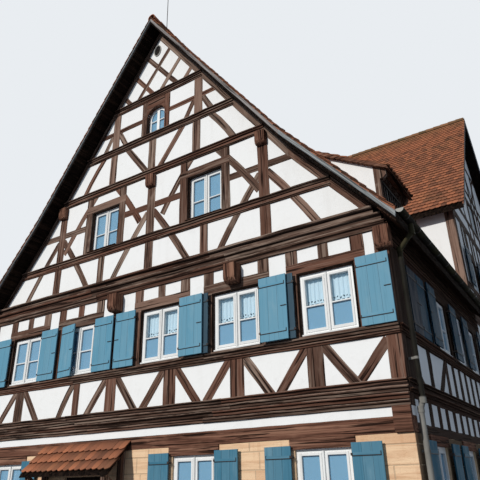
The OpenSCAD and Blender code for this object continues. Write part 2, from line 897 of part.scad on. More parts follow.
// Beam ends that carry the cornice and the collar: upright in front, then curved back to a foot.
// The corner's heads pass the corner a little.
head_drop = 420;
corner_head_in = 55;
gable_head_w = 250;
gable_head_drop = 340;
console_w = 300;
console_in = console_w / 2;
module beam_head(x, z, w, h, out) {
    foot = 0.5 * out;
    curve_h = 0.35 * h;
    step = 90 / 8;
    translate([x + w / 2, z, 0])
        rotate([0, -90, 0])
            linear_extrude(w)
                polygon([
                    [0, 0],
                    for (a = [0:step:90]) [foot + (out - foot) * sin(a), curve_h * (1 - cos(a))],
                    [out, h], [0, h]
                ]);
}
module beam_heads() {
    console_h = floor_z - masonry_h - 10;
    color(timber) on_front() {
        for (x = beam_posts)
            beam_head(x, cornice_z - head_drop, beam_head_w, head_drop, beam_head_out);
        for (s = [-1, 1]) {
            beam_head(
                s * (half_w - corner_head_in), cornice_z - head_drop, beam_head_w, head_drop,
                beam_head_out * 0.6
            );
            beam_head(
                s * (half_w - console_in), masonry_h + 5, console_w, console_h, beam_head_out * 0.35
            );
        }
        for (x = [-outer_post, 0, outer_post])
            beam_head(x, collar_z - gable_head_drop, gable_head_w, gable_head_drop, beam_head_out * 0.5);
    }
}

// Roofs: the profile of one slope and the slab along the ridge
module slope_profile(lift = 0, drop = 0, reach = eave_out) {
    e = half_w + reach;
    polygon([
        [0, peak_z + roof_dz - lift], [kink_x, kink_z + roof_dz - lift], [e, under(e) + roof_dz - lift],
        [e, under(e) + drop], [kink_x, kink_z + drop], [0, peak_z + drop]
    ]);
}
module wing_slope_profile(lift = 0, drop = 0) {
    e = wing_half + wing_eave_out;
    polygon([
        [0, wing_peak_z + wing_dz - lift], [e, wing_under(e) + wing_dz - lift],
        [e, wing_under(e) + drop], [0, wing_peak_z + drop]
    ]);
}
// Everything under the wing's roof and behind its front wall
module wing_space() {
    e = wing_half + wing_eave_out;
    translate([-far / 2, front_y + wing_mid, 0])
        rotate([90, 0, 90])
            linear_extrude(far)
                polygon([
                    [-e, wing_under(e) + wing_dz], [0, wing_peak_z + wing_dz], [wing_half, 0],
                    [-wing_half, 0], [-wing_half, wing_under(e)], [-e, wing_under(e)]
                ]);
}
module slope(s) {
    difference() {
        mirror([s, 0, 0])
            translate([0, front_y + front_l + wing_half, 0])
                rotate([90, 0, 0])
                    linear_extrude(front_l + wing_half + verge_out)
                        slope_profile();
        wing_space();
    }
}
dormer_x = half_w - dormer_back;
dormer_well = 1300;
module roof_right() {
    color(tile) difference() {
        slope(0);
        translate([dormer_x - dormer_post - dormer_well, front_y + dormer_y + dormer_post, 0])
            cube([dormer_well, dormer_w - 2 * dormer_post, far]);
    }
}
module roof_left() {
    color(tile) slope(1);
}
module wing_slope() {
    translate([-half_w - verge_out, front_y + wing_mid, 0])
        rotate([90, 0, 90])
            linear_extrude(house_w + 2 * verge_out)
                wing_slope_profile();
}
module wing_roof_back() {
    color(tile) wing_slope();
}
module wing_roof_front() {
    color(tile)
        translate([0, 2 * (front_y + wing_mid), 0])
            mirror([0, 1, 0])
                wing_slope();
}
module ridge_tiles() {
    color(tile) {
        difference() {
            translate([0, front_y + wing_mid, peak_z + roof_dz - ridge_r / 2])
                rotate([90, 0, 0])
                    linear_extrude(wing_mid + verge_out)
                        ridge_profile(roof_pitch);
            wing_space();
        }
        translate([-half_w - verge_out, front_y + wing_mid, wing_peak_z + wing_dz - ridge_r / 2])
            rotate([90, 0, 90])
                linear_extrude(house_w + 2 * verge_out)
                    ridge_profile(wing_pitch);
    }
}
module ridge_profile(pitch) {
    rise = 3 * ridge_r;
    difference() {
        circle(r = ridge_r);
        circle(r = ridge_r - ridge_t);
        polygon([[0, ridge_r / 2], [rise, ridge_r / 2 - rise * tan(pitch)],
            [-rise, ridge_r / 2 - rise * tan(pitch)]]);
    }
}

module verge_board_profile() {
    difference() {
        slope_profile(lift = tile_edge, drop = roof_dz - tile_edge - verge_board_h);
        field(-3, 3, 0, far);
    }
}
module wing_verge_profile() {
    difference() {
        wing_slope_profile(lift = tile_edge, drop = wing_dz - tile_edge - verge_board_h);
        field(-3, 3, 0, far);
    }
}
module verge_boards() {
    color(timber) {
        on_front() outward(verge_board_t, verge_out) both_sides() verge_board_profile();
        for (s = [0, 1])
            mirror([s, 0, 0])
                on_right()
                    translate([wing_mid, 0, 0])
                        outward(verge_board_t, verge_out)
                            both_sides()
                                wing_verge_profile();
    }
}

// Shed dormer on the right slope, on the plane of the gable, seen along Y
function top(x) = under(x) + roof_dz;
dormer_eave_x = dormer_x + dormer_eave;
dormer_start = kink_x + 100;
dormer_start_z = top(dormer_start);
function dormer_top(x) = dormer_start_z - (x - dormer_start) * tan(dormer_pitch);
dormer_dz = dormer_roof_t / cos(dormer_pitch);
function dormer_under(x) = dormer_top(x) - dormer_dz;
module along_ridge(y, len) {
    translate([0, front_y + y + len, 0]) rotate([90, 0, 0]) linear_extrude(len) children();
}
module over_roof() {
    difference() {
        children();
        polygon([
            [0, 0], [far, 0], [half_w + eave_out, top(half_w + eave_out)], [kink_x, top(kink_x)],
            [0, top(0)]
        ]);
    }
}
module dormer_roof() {
    color(tile) along_ridge(dormer_y - dormer_verge, dormer_w + 2 * dormer_verge) over_roof()
        polygon([
            [dormer_start - 600, dormer_top(dormer_start - 600)],
            [dormer_eave_x, dormer_top(dormer_eave_x)],
            [dormer_eave_x, dormer_under(dormer_eave_x)],
            [dormer_start - 600, dormer_under(dormer_start - 600)]
        ]);
}
dormer_rail = 60;
dormer_head = 140;
module dormer_frame() {
    back = dormer_x - dormer_post;
    front_z = dormer_under(dormer_x);
    tip_x = dormer_x + dormer_head;
    head_foot = front_z - 1.8 * dormer_head;
    color(timber) {
        for (y = [dormer_y, dormer_y + dormer_w - dormer_post]) {
            along_ridge(y, dormer_post) over_roof()
                polygon([[back, 0], [dormer_x, 0], [dormer_x, front_z], [back, dormer_under(back)]]);
            // A head on each post carries the eave
            along_ridge(y, dormer_post)
                polygon([
                    [dormer_x, front_z], [tip_x, dormer_under(tip_x)],
                    [tip_x, head_foot + dormer_head / 2], [dormer_x + dormer_head / 2, head_foot],
                    [dormer_x, head_foot]
                ]);
        }
        along_ridge(dormer_y + dormer_post, dormer_w - 2 * dormer_post)
            polygon([
                [back, front_z - dormer_rail], [dormer_x, front_z - dormer_rail],
                [dormer_x, front_z], [back, dormer_under(back)]
            ]);
    }
}
module dormer_cheeks() {
    color(plaster)
        for (y = [dormer_y + infill_back, dormer_y + dormer_w - dormer_post])
            along_ridge(y, dormer_post - infill_back) over_roof()
                polygon([
                    [0, 0], [dormer_x - dormer_post, 0],
                    [dormer_x - dormer_post, dormer_under(dormer_x - dormer_post)],
                    [dormer_start, dormer_under(dormer_start)], [0, dormer_under(dormer_start)]
                ]);
}
// The balustrade in the dormer's opening: upright slats, evenly spread between the posts, under a
// hand rail
slat_t = 25;
hand_rail_h = 40;
module dormer_slats() {
    clear_w = dormer_w - 2 * dormer_post;
    pitch = clear_w / slat_count;
    first = dormer_y + dormer_post + (pitch - slat_w) / 2;
    rail_foot = top(dormer_x) + balustrade_h - hand_rail_h;
    color(timber) {
        for (k = [0:slat_count - 1])
            along_ridge(first + k * pitch, slat_w) over_roof()
                field(dormer_x - 2 * slat_t, dormer_x - slat_t, 0, rail_foot);
        along_ridge(dormer_y + dormer_post, clear_w)
            field(dormer_x - 3 * slat_t, dormer_x, rail_foot, rail_foot + hand_rail_h);
    }
}

// Half round gutters under the front part's eaves, closed at both ends
gutter_x = half_w + eave_out + gutter_r;
gutter_z = top(half_w + eave_out) - gutter_drop;
module half_disc(r) {
    intersection() {
        circle(r = r);
        field(-r, r, -r, 0);
    }
}
module gutter_length(y, len) {
    along_ridge(y, len) translate([gutter_x, gutter_z]) children();
}
module gutters() {
    end = front_l - 5;
    color(zinc)
        for (s = [0, 1])
            mirror([s, 0, 0]) {
                for (y = [-verge_out, end - gutter_t]) gutter_length(y, gutter_t) half_disc(gutter_r);
                gutter_length(gutter_t - verge_out, verge_out + end - 2 * gutter_t) difference() {
                    half_disc(gutter_r);
                    circle(r = gutter_r - gutter_t);
                }
            }
}
module rod_between(a, b, r) {
    d = b - a;
    translate(a)
        rotate([0, acos(d[2] / norm(d)), atan2(d[1], d[0])])
            cylinder(r = r, h = norm(d));
}
// A downpipe leaves its gutter's foot, bends in to the timbers, and in again under the floor beams
neck_drop = 160;
knee_drop = 450;
jog_drop = 60;
jog_h = 140;
collar_h = 100;
collar_out = 8;
module downpipe() {
    y = front_y + pipe_y;
    outlet = [gutter_x, y, gutter_z - gutter_r + 2];
    neck = outlet - [0, 0, neck_drop];
    upper_x = half_w + pipe_off + pipe_r;
    lower_x = half_w + pipe_foot_off + pipe_r;
    beam_z = sill_z - side_beam_h;
    knee = [upper_x, y, outlet[2] - knee_drop];
    jog = [upper_x, y, beam_z - jog_drop];
    lower = [lower_x, y, jog[2] - jog_h];
    rod_between(neck, outlet, pipe_r);
    rod_between(knee, neck, pipe_r - 3);
    rod_between(jog, knee, pipe_r - 3);
    rod_between(lower, jog, pipe_r - 3);
    rod_between([lower_x, y, 120], lower, pipe_r);
    for (p = [neck, knee, jog, lower])
        translate(p - [0, 0, collar_h / 2]) cylinder(r = pipe_r + collar_out, h = collar_h);
    for (p = [[0.6 * ground_sill, pipe_foot_off], [masonry_h - 300, pipe_foot_off], [sill_z + 320, pipe_off]])
        translate([half_w, y - 15, p[0]]) cube([p[1] + pipe_r, 30, 40]);
}
module downpipes() {
    color(zinc)
        for (s = [0, 1])
            mirror([s, 0, 0])
                downpipe();
}
module lightning_rod() {
    z = peak_z + roof_dz + ridge_r / 2;
    color(zinc) {
        translate([0, front_y + 300, z]) cylinder(r = rod_r, h = rod_h);
        translate([0, front_y + 300, z]) cylinder(r = 3 * rod_r, h = 40);
    }
}

// Windows: an outer frame with one upright in the middle, and two sheets of glass
module lights(o) {
    w = (o[2] - 2 * sash_w - mullion_w) / 2;
    h = o[3] - 2 * sash_w;
    for (x = [o[0] - mullion_w / 2 - w, o[0] + mullion_w / 2]) rail(x, x + w, o[1] + sash_w, h);
}
module sashes(list, back = window_back) {
    translate([0, 0, -back - sash_t]) linear_extrude(sash_t) difference() {
        openings(list);
        for (o = list) lights(o);
    }
}
module panes(list, back = window_back) {
    translate([0, 0, -back - sash_t / 2 - glass_t / 2]) linear_extrude(glass_t)
        for (o = list) lights(o);
}
module arched_light() {
    r = loft_window_w / 2 - sash_w;
    spring = loft_z + loft_window_h() - loft_window_w / 2;
    both_sides() intersection() {
        union() {
            field(mullion_w / 2, r, loft_z + sash_w, spring);
            translate([0, spring]) circle(r);
        }
        field(mullion_w / 2, far, loft_z + sash_w, far);
    }
}
module windows_front() {
    color("white") on_front() {
        sashes(front_windows);
        sashes(gable_windows, gable_window_back);
        translate([0, 0, -gable_window_back - sash_t]) linear_extrude(sash_t) difference() {
            arched_opening();
            arched_light();
        }
    }
}
module windows_sides() {
    color("white") {
        on_right() sashes(side_windows);
        on_left() sashes(side_windows);
    }
}
module windows_ground() {
    color("white") {
        on_front() sashes(ground_windows);
        on_right() sashes(ground_side_windows);
        on_left() sashes(ground_side_windows);
        on_back() sashes(ground_back_windows);
    }
}
module windows_wing() {
    color("white") {
        on_right() sashes(concat(wing_windows, wing_loft_windows));
        on_left() sashes(concat(wing_windows, wing_loft_windows));
        on_back() sashes(concat(back_windows, wing_back_windows));
    }
}
module window_glass() {
    color(clear_glass) {
        on_front() {
            panes(front_windows);
            panes(gable_windows, gable_window_back);
            panes(ground_windows);
            translate([0, 0, -gable_window_back - sash_t / 2 - glass_t / 2])
                linear_extrude(glass_t) arched_light();
        }
        for (s = [0, 1])
            mirror([s, 0, 0])
                on_right() {
                    panes(side_windows);
                    panes(ground_side_windows);
                    panes(wing_windows);
                    panes(wing_loft_windows);
                }
        on_back() {
            panes(back_windows);
            panes(wing_back_windows);
            panes(ground_back_windows);
        }
    }
}

// A shutter's leaf from its hinge at 0 outwards along X, with two iron straps on its face
module leaf(w, z, h) {
    cube_z = [z + 0.14 * h, z + 0.84 * h];
    translate([0, z, 0]) cube([w, h, shutter_t]);
    for (v = cube_z) translate([0.02 * w, v, shutter_t]) cube([0.9 * w, strap_h, 6]);
}
// A shutter folded back beside its window: side is -1 to the left and 1 to the right
module shutter(o, side, off = shutter_off, w = shutter_w, gap = shutter_gap) {
    foot = o[1] - 20;
    h = o[3] + 80;
    translate([o[0] + side * (o[2] / 2 + gap), 0, 0])
        mirror([side > 0 ? 0 : 1, 0, 0]) {
            translate([0, 0, off]) leaf(w, foot, h);
            for (u = [0.12, 0.86]) translate([0, foot + u * h, 0]) cube([40, 40, off]);
        }
}
module shutter_pairs(list, w = shutter_w, gap = shutter_gap) {
    for (o = list)
        for (side = [-1, 1])
            shutter(o, side, shutter_off, w, gap);
}
// A closed pair: each leaf covers half of the window and a little of the post beside it
closed_off = 15;
closed_lap = 15;
module closed_pair(o) {
    foot = o[1] - 20;
    h = o[3] + 80;
    for (s = [0, 1])
        translate([o[0], 0, 0]) mirror([s, 0, 0]) translate([-o[2] / 2 - closed_lap, 0, 0]) {
            translate([0, 0, closed_off]) leaf(o[2] / 2 + closed_lap - 2, foot, h);
            for (u = [0.12, 0.86]) translate([closed_lap - 40, foot + u * h, 0]) cube([40, 40, closed_off]);
        }
}
// The second window's left leaf is nearly closed, and the third and fourth windows' right leaves
// lie over the next window's left ones
module shutters_front() {
    over = shutter_off + shutter_t + 25;
    ajar = front_windows[1];
    color(shutter_blue) on_front() {
        for (i = [0, 2, 3, 4])
            shutter(front_windows[i], -1, shutter_off, shutter_w, i == 2 ? 150 : shutter_gap);
        for (i = [0:4]) shutter(front_windows[i], 1, i > 1 && i < 4 ? over : shutter_off);
        translate([ajar[0] - ajar[2] / 2 - 30, 0, 15]) {
            rotate([0, -ajar_angle, 0]) leaf(ajar[2] / 2 - 10, ajar[1] - 20, ajar[3] + 80);
            for (u = [0.12, 0.86]) translate([-25, ajar[1] + u * ajar[3], -15]) cube([40, 40, 30]);
        }
    }
}
module shutters_right() {
    open_windows = [for (i = [1:len(side_windows) - 1]) side_windows[i]];
    color(shutter_blue) on_right() {
        shutter_pairs(concat(open_windows, wing_windows));
        closed_pair(side_windows[0]);
    }
}
module shutters_left() {
    mirror([1, 0, 0]) shutters_right();
}
module ground_shutters(list) {
    shutter_pairs(list, ground_leaf_w, ground_leaf_gap);
}
module shutters_ground() {
    color(shutter_blue) {
        on_front() ground_shutters(ground_windows);
        on_right() ground_shutters(ground_side_windows);
        on_left() ground_shutters(ground_side_windows);
        on_back() ground_shutters(ground_back_windows);
    }
}

module entrance_door() {
    color(timber) on_front() {
        translate([0, 0, -window_back - 120]) linear_extrude(120) difference() {
            doorway();
            field(door_x - door_w / 2 + 90, door_x + door_w / 2 - 90, slab_t, door_h - 90);
        }
        translate([0, 0, -window_back - 90]) linear_extrude(door_leaf_t)
            field(door_x - door_w / 2 + 90, door_x + door_w / 2 - 90, slab_t, door_h - 90);
    }
}
porch_z = strip_z;
module across_porch(x, w) {
    translate([x - w / 2, front_y, 0]) rotate([90, 0, 90]) linear_extrude(w) children();
}
module porch_roof() {
    t = porch_t / cos(porch_pitch);
    drop = porch_out * tan(porch_pitch);
    color(tile) across_porch(door_x, porch_w)
        polygon([
            [0, porch_z], [0, porch_z - t], [-porch_out, porch_z - t - drop], [-porch_out, porch_z - drop]
        ]);
}
// Two brackets carry the small roof: a sloping arm, an upright on the wall and a strut between
bracket_in = 200;
bracket_h = 500;
module porch_brackets() {
    w = 110;
    arm_h = w / cos(porch_pitch);
    arm_out = porch_out - 60;
    top_z = porch_z - porch_t / cos(porch_pitch);
    tip_z = top_z - arm_out * tan(porch_pitch);
    foot_z = tip_z - bracket_h;
    color(timber)
        for (s = [-1, 1])
            across_porch(door_x + s * (porch_w / 2 - bracket_in), w)
                union() {
                    polygon([
                        [0, top_z], [0, top_z - arm_h], [-arm_out, tip_z - arm_h], [-arm_out, tip_z]
                    ]);
                    field(-w, 0, foot_z, top_z - w);
                    bar([-w / 2, foot_z + 100], [-arm_out + 90, tip_z - w], w * 0.8);
                }
}

ground_slab();
upper_floor();
attic_floor();
loft_floor();
masonry_front();
masonry_right();
masonry_left();
masonry_back();
masonry_cross();
frame_front();
frame_gable();
frame_right();
frame_left();
frame_back();
frame_cross();
frame_wing_right();
frame_wing_left();
infill_front();
infill_sides();
infill_wing();
mouldings_front();
mouldings_sides();
wall_plates();
beam_heads();
ground_lintels();
roof_right();
roof_left();
wing_roof_front();
wing_roof_back();
ridge_tiles();
verge_boards();
dormer_frame();
dormer_cheeks();
dormer_slats();
dormer_roof();
gutters();
downpipes();
lightning_rod();
windows_front();
windows_sides();
windows_ground();
windows_wing();
window_glass();
shutters_front();
shutters_right();
shutters_left();
shutters_ground();
entrance_door();
porch_roof();
porch_brackets();
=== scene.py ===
"""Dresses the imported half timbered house: separate timbers, dressed stone, plain tiles, casements,
shutters and rainwater goods, each with its own material, on a pale floor under soft light."""

import bmesh
import bpy
import numpy as np
from mathutils import Matrix, Vector


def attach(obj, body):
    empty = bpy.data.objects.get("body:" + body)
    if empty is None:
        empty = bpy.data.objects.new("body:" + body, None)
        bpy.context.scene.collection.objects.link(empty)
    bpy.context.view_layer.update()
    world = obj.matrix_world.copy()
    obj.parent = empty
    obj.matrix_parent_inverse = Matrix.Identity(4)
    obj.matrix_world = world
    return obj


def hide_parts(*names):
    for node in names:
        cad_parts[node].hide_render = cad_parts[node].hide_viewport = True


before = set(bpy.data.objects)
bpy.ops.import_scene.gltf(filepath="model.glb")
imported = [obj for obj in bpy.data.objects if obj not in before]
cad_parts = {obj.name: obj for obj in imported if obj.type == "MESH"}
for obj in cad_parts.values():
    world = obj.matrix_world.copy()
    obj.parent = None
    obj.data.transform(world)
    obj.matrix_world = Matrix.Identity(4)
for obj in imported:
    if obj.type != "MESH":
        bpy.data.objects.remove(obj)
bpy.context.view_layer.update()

bl_info = {
    "name": "Half timbered house",
    "version": (1, 0, 0),
    "blender": (4, 5, 0),
    "location": "3D View > Sidebar > House",
    "description": "Makes the timbers, stones, tiles and windows of a half timbered house",
    "category": "Add Mesh",
}

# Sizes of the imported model, in metres
HALF_W, FRONT_L, WING_L = 5.875, 8.05, 11.5
TOTAL_L = FRONT_L + WING_L
FRONT_Y = -TOTAL_L / 2
WING_MID = FRONT_L + WING_L / 2
WING_HALF = WING_L / 2
FRAME_T = 0.22
POST, BRACE, BEAM, RAFTER, JAMB = 0.265, 0.175, 0.21, 0.16, 0.24
# Heights, from the stone's top to the tip of the gable
MASONRY_H, PLATE_H, SIDE_PLATE_H = 2.6, 0.25, 0.14
FLOOR_Z, FLOOR_BEAM, SIDE_BEAM, PARAPET, SILL_RAIL, HEAD = 3.01, 0.43, 0.29, 0.74, 0.22, 0.26
SILL_Z = FLOOR_Z + FLOOR_BEAM
RAIL_Z = SILL_Z + PARAPET
WINDOW_Z = RAIL_Z + SILL_RAIL
WINDOW_W, WINDOW_H = 1.13, 1.22
HEAD_Z = WINDOW_Z + WINDOW_H
FRIEZE_Z = HEAD_Z + HEAD
CORNICE_Z = FRIEZE_Z + 0.29
GABLE_Z = CORNICE_Z + 0.48
KNEE_Z = GABLE_Z + 0.75
ROW_Z = KNEE_Z + BEAM
COLLAR_Z = ROW_Z + 1.69
UPPER_ROW_Z = COLLAR_Z + BEAM
HIGH_Z = UPPER_ROW_Z + 0.95
LOFT_Z = HIGH_Z + BEAM
TIP_Z = LOFT_Z + 1.17
GABLE_BEAMS = (KNEE_Z, COLLAR_Z, HIGH_Z, TIP_Z)
GABLE_WINDOW = (1.01, 1.23)
LOFT_W, LOFT_H = 0.64, 0.9
BOW, BRACE_RUN = 0.03, 0.56
# Roofs: pitches, eaves, kink, peaks and overhangs
ROOF_PITCH, FOOT_PITCH, WING_PITCH, DORMER_PITCH = np.radians([54.5, 50.0, 48.9, 30.0])
EAVE_Z = CORNICE_Z + 0.277
KINK_IN = 1.875
KINK_X = HALF_W - KINK_IN
KINK_Z = EAVE_Z + KINK_IN * np.tan(FOOT_PITCH)
PEAK_Z = KINK_Z + KINK_X * np.tan(ROOF_PITCH)
ROOF_T, EAVE_OUT, VERGE_OUT, VERGE_T, VERGE_H, TILE_EDGE = 0.18, 0.33, 0.4, 0.035, 0.125, 0.12
ROOF_DZ = ROOF_T / np.cos(ROOF_PITCH)
WING_EAVE_Z = GABLE_Z + 3.48
WING_EAVE_OUT = 0.31
WING_PEAK_Z = WING_EAVE_Z + WING_HALF * np.tan(WING_PITCH)
WING_DZ = ROOF_T / np.cos(WING_PITCH)
RIDGE_R = 0.13
# Windows, dormer, entrance, gutter and vent
WINDOW_BACK, GABLE_BACK, SASH_T, SASH_W, MULLION = 0.05, 0.13, 0.065, 0.075, 0.09
DORMER_Y, DORMER_W, DORMER_X, DORMER_POST = 0.6, 1.52, HALF_W - 0.14, 0.115
DORMER_START = KINK_X + 0.1
DORMER_EAVE, DORMER_VERGE = 0.225, 0.1
SLATS, SLAT_W, SLAT_T, BALUSTRADE_H, HAND_RAIL_H = 8, 0.045, 0.025, 0.65, 0.04
DOOR_X, DOOR_W, DOOR_H = -1.6, 1.15, 2.1
PORCH_W, PORCH_OUT, PORCH_Z, PORCH_PITCH = 2.8, 0.62, 2.85, np.radians(45)
GROUND_SILL, GROUND_W, GROUND_H = 1.18, 1.05, 1.25
GUTTER_R = 0.075
VENT_W, VENT_H, VENT_X, VENT_DROP = 0.22, 0.36, -0.05, 0.69

# Middles of the windows along each wall
FRONT_CENTRES = [1.665 - HALF_W, 3.665 - HALF_W, 0.49, HALF_W - 3.34, HALF_W - 1.285]
SIDE_CENTRES = [1.42, 3.35, FRONT_L - 1.45]
WING_CENTRES = [FRONT_L + u * WING_L for u in (0.152, 0.378, 0.622, 0.857)]
BACK_CENTRES = [HALF_W * u for u in (-0.715, -0.29, 0.29, 0.715)]
GROUND_CENTRES = [1.625 - HALF_W, 1.48, HALF_W - 1.625]
GROUND_SIDE_CENTRES = [1.42, 3.85, 6.28]
GROUND_SIDE_CENTRES += [FRONT_L + u * WING_L for u in (0.187, 0.448, 0.743)]
ROW_CENTRES = [-1.655, 1.69]
# Middles of the front's posts
STRUT_POSTS = [1.625 - HALF_W, -0.95, 0.8, HALF_W - 3.34, HALF_W - 1.625]
BEAM_POSTS = [-0.89, HALF_W - 3.34]
PLAIN_POST = -2.1
OUTER_POST = HALF_W - 2.535
# Heights in the wing
SECOND_Z = WINDOW_Z + CORNICE_Z - FLOOR_Z
WING_LOFT_Z = WING_EAVE_Z + 0.64
WING_COLLAR_Z = WING_EAVE_Z + 2.4
WING_HIGH_Z = WING_EAVE_Z + 4.2
WING_LOFT_REACH = 1.3
WING_LOFT_CENTRES = [WING_MID - WING_LOFT_REACH, WING_MID + WING_LOFT_REACH]


def row(centres, z, w, h):
    """Openings as (middle, sill, width, height)."""
    return [(c, z, w, h) for c in centres]


FRONT_WINDOWS = row(FRONT_CENTRES, WINDOW_Z, WINDOW_W, WINDOW_H)
SIDE_WINDOWS = row(SIDE_CENTRES + WING_CENTRES, WINDOW_Z, WINDOW_W, WINDOW_H)
BACK_WINDOWS = row(BACK_CENTRES, WINDOW_Z, WINDOW_W, WINDOW_H)
WING_WINDOWS = row(WING_CENTRES, SECOND_Z, WINDOW_W, WINDOW_H)
WING_BACK_WINDOWS = row(BACK_CENTRES, SECOND_Z, WINDOW_W, WINDOW_H)
WING_LOFT_WINDOWS = row(WING_LOFT_CENTRES, WING_LOFT_Z, *GABLE_WINDOW)
GABLE_WINDOWS = row(ROW_CENTRES, ROW_Z, *GABLE_WINDOW)
GROUND_FRONT = row(GROUND_CENTRES, GROUND_SILL, GROUND_W, GROUND_H)
GROUND_SIDE = row(GROUND_SIDE_CENTRES, GROUND_SILL, GROUND_W, GROUND_H)
GROUND_BACK = row(BACK_CENTRES, GROUND_SILL, GROUND_W, GROUND_H)


def under(x):
    """Height of the underside of the front part's roof over a distance from its middle."""
    x = np.asarray(x, float)
    foot = EAVE_Z + (HALF_W - x) * np.tan(FOOT_PITCH)
    return np.where(x > KINK_X, foot, PEAK_Z - x * np.tan(ROOF_PITCH))


def under_x(z):
    """Distance from the middle at which the underside has a height."""
    foot = HALF_W - (z - EAVE_Z) / np.tan(FOOT_PITCH)
    return np.where(z > KINK_Z, (PEAK_Z - z) / np.tan(ROOF_PITCH), foot)


def wing_under(d):
    """Height of the underside of the wing's roof over a distance from its ridge."""
    return WING_PEAK_Z - np.asarray(d, float) * np.tan(WING_PITCH)


def linear(red, green, blue):
    """A colour given as 0 to 255 on a screen, as the linear values that a shader takes."""
    c = np.array([red, green, blue]) / 255
    return tuple(np.where(c <= 0.04045, c / 12.92, ((c + 0.055) / 1.055) ** 2.4))


# ---- Settings


def size(name, description, default):
    """A length of zero or more."""
    return bpy.props.FloatProperty(
        name=name, description=description, default=default, min=0, unit="LENGTH"
    )


def colour(name, description, rgb):
    """A colour, given as it looks on a screen."""
    return bpy.props.FloatVectorProperty(
        name=name, description=description, default=linear(*rgb), subtype="COLOR", min=0, max=1
    )


def share(name, description, default):
    """A share from 0 to 1."""
    return bpy.props.FloatProperty(
        name=name, description=description, default=default, min=0, max=1, subtype="FACTOR"
    )


class HouseTimberSettings(bpy.types.PropertyGroup):
    """Sizes and colours of the timbers."""

    chamfer: size("Chamfer", "Width of the broken edge of a timber", 0.012)
    wobble: size("Wobble", "How far a hewn edge strays outwards", 0.012)
    light: colour("Worn wood", "Colour of worn, dry wood", (164, 144, 130))
    warm: colour("Stained wood", "Colour of the stained wood", (104, 80, 69))
    dark: colour("Cracks", "Colour of cracks and deep grain", (28, 19, 16))


class HouseWallSettings(bpy.types.PropertyGroup):
    """Colours of plaster and stone, and sizes of the stones."""

    plaster: colour("Plaster", "Colour of the lime wash", (244, 245, 245))
    stain: colour("Plaster stain", "Colour of runs and dust on the plaster", (196, 191, 184))
    stone: colour("Sandstone", "Colour of the sandstone", (240, 207, 171))
    # A darker copy of the sandstone for the right wall: painted shade.
    painted_shade_stone: colour("Sandstone in painted shade", "Colour of the shaded wall's stone", (128, 108, 88))
    stone_dark: colour("Dark sandstone", "Colour of its darker layers", (200, 151, 114))
    mortar: colour("Mortar", "Colour of the joints", (206, 180, 150))
    joint: size("Joint", "Width of the joints between stones", 0.01)
    stone_chamfer: size("Arris", "Rounding of a stone's edges", 0.01)
    setback: size("Joint depth", "Depth of the mortar behind the stones", 0.01)


class HouseRoofSettings(bpy.types.PropertyGroup):
    """Sizes and colours of the plain tiles."""

    tile_w: size("Tile width", "Width of a plain tile", 0.18)
    tile_l: size("Tile length", "Length of a plain tile", 0.37)
    exposure: size("Exposure", "Distance between the courses", 0.25)
    tile_t: size("Tile thickness", "Thickness of a tile's doubled lower end", 0.026)
    deck_depth: size("Batten depth", "Depth of the boarding under the tops of the tiles", 0.052)
    orange: colour("New clay", "Colour of the lighter tiles", (178, 114, 84))
    brown: colour("Old clay", "Colour of the older tiles", (112, 78, 64))
    # Soot on a few tiles and in specks; at half strength it is also the tiles' painted shade.
    soot_and_shade: colour("Soot", "Colour of dirt on the tiles", (58, 47, 40))
    lichen: colour("Lichen", "Colour of the lichen on the tiles", (124, 104, 74))


class HouseJoinerySettings(bpy.types.PropertyGroup):
    """Sizes and colours of windows and shutters."""

    casement_w: size("Casement width", "Visible width of a casement's bars", 0.034)
    board_w: size("Shutter board", "Width of a shutter's boards", 0.2)
    white: colour("White paint", "Colour of the window paint", (238, 240, 240))
    blue: colour("Blue paint", "Colour of the upper shutters", (98, 152, 177))
    deep_blue: colour("Deep blue paint", "Colour of the ground floor shutters", (66, 118, 142))
    # Deeper, unfaded paint, darkened further as painted shade: the right wall's shutters.
    teal: colour("Teal paint", "Colour of the side walls' shutters", (28, 56, 74))
    teal_worn: colour("Worn teal paint", "Colour of that paint where it is worn", (50, 80, 100))
    bare: colour("Bare board", "Colour where the paint has gone", (138, 170, 184))
    # Also painted shade on the front leaves that lie behind others.
    old_and_shade: colour("Old board", "Colour of a leaf that has lost its paint", (52, 52, 60))
    lace: colour("Lace", "Colour of the curtains", (220, 244, 255))
    # Painted reflection of the light blue sky, given as the glass's colour.
    pane_sky_reflection: colour("Pane", "Tint of the window glass", (150, 204, 238))


class HouseMetalSettings(bpy.types.PropertyGroup):
    """Colours of the zinc and iron."""

    zinc: colour("Zinc", "Colour of weathered zinc", (62, 60, 56))
    zinc_light: colour("Bright zinc", "Colour of newer zinc", (178, 176, 170))
    moss: colour("Moss", "Colour of moss and dirt in the gutters", (66, 62, 44))
    iron: colour("Iron", "Colour of the black iron", (34, 32, 32))
    rust: colour("Rust", "Colour of the rust on it", (92, 52, 34))


class HouseStageSettings(bpy.types.PropertyGroup):
    """Light and floor."""

    sun: bpy.props.FloatProperty(
        name="Key light", description="Strength of the key light", default=2.9, min=0
    )
    fill: bpy.props.FloatProperty(
        name="Back light", description="Strength of the light on the back", default=1.2, min=0
    )
    sky: share("Sky light", "Strength of the even light from all round", 0.36)
    floor: colour("Floor", "Colour of the floor", (214, 214, 212))
    bounce: colour("Floor bounce", "Colour of the light from the floor", (104, 107, 114))
    backdrop: colour("Backdrop", "Colour behind the house", (233, 237, 241))


SETTINGS = {
    "house_timber": HouseTimberSettings,
    "house_wall": HouseWallSettings,
    "house_roof": HouseRoofSettings,
    "house_joinery": HouseJoinerySettings,
    "house_metal": HouseMetalSettings,
    "house_stage": HouseStageSettings,
}


# ---- Meshes from arrays


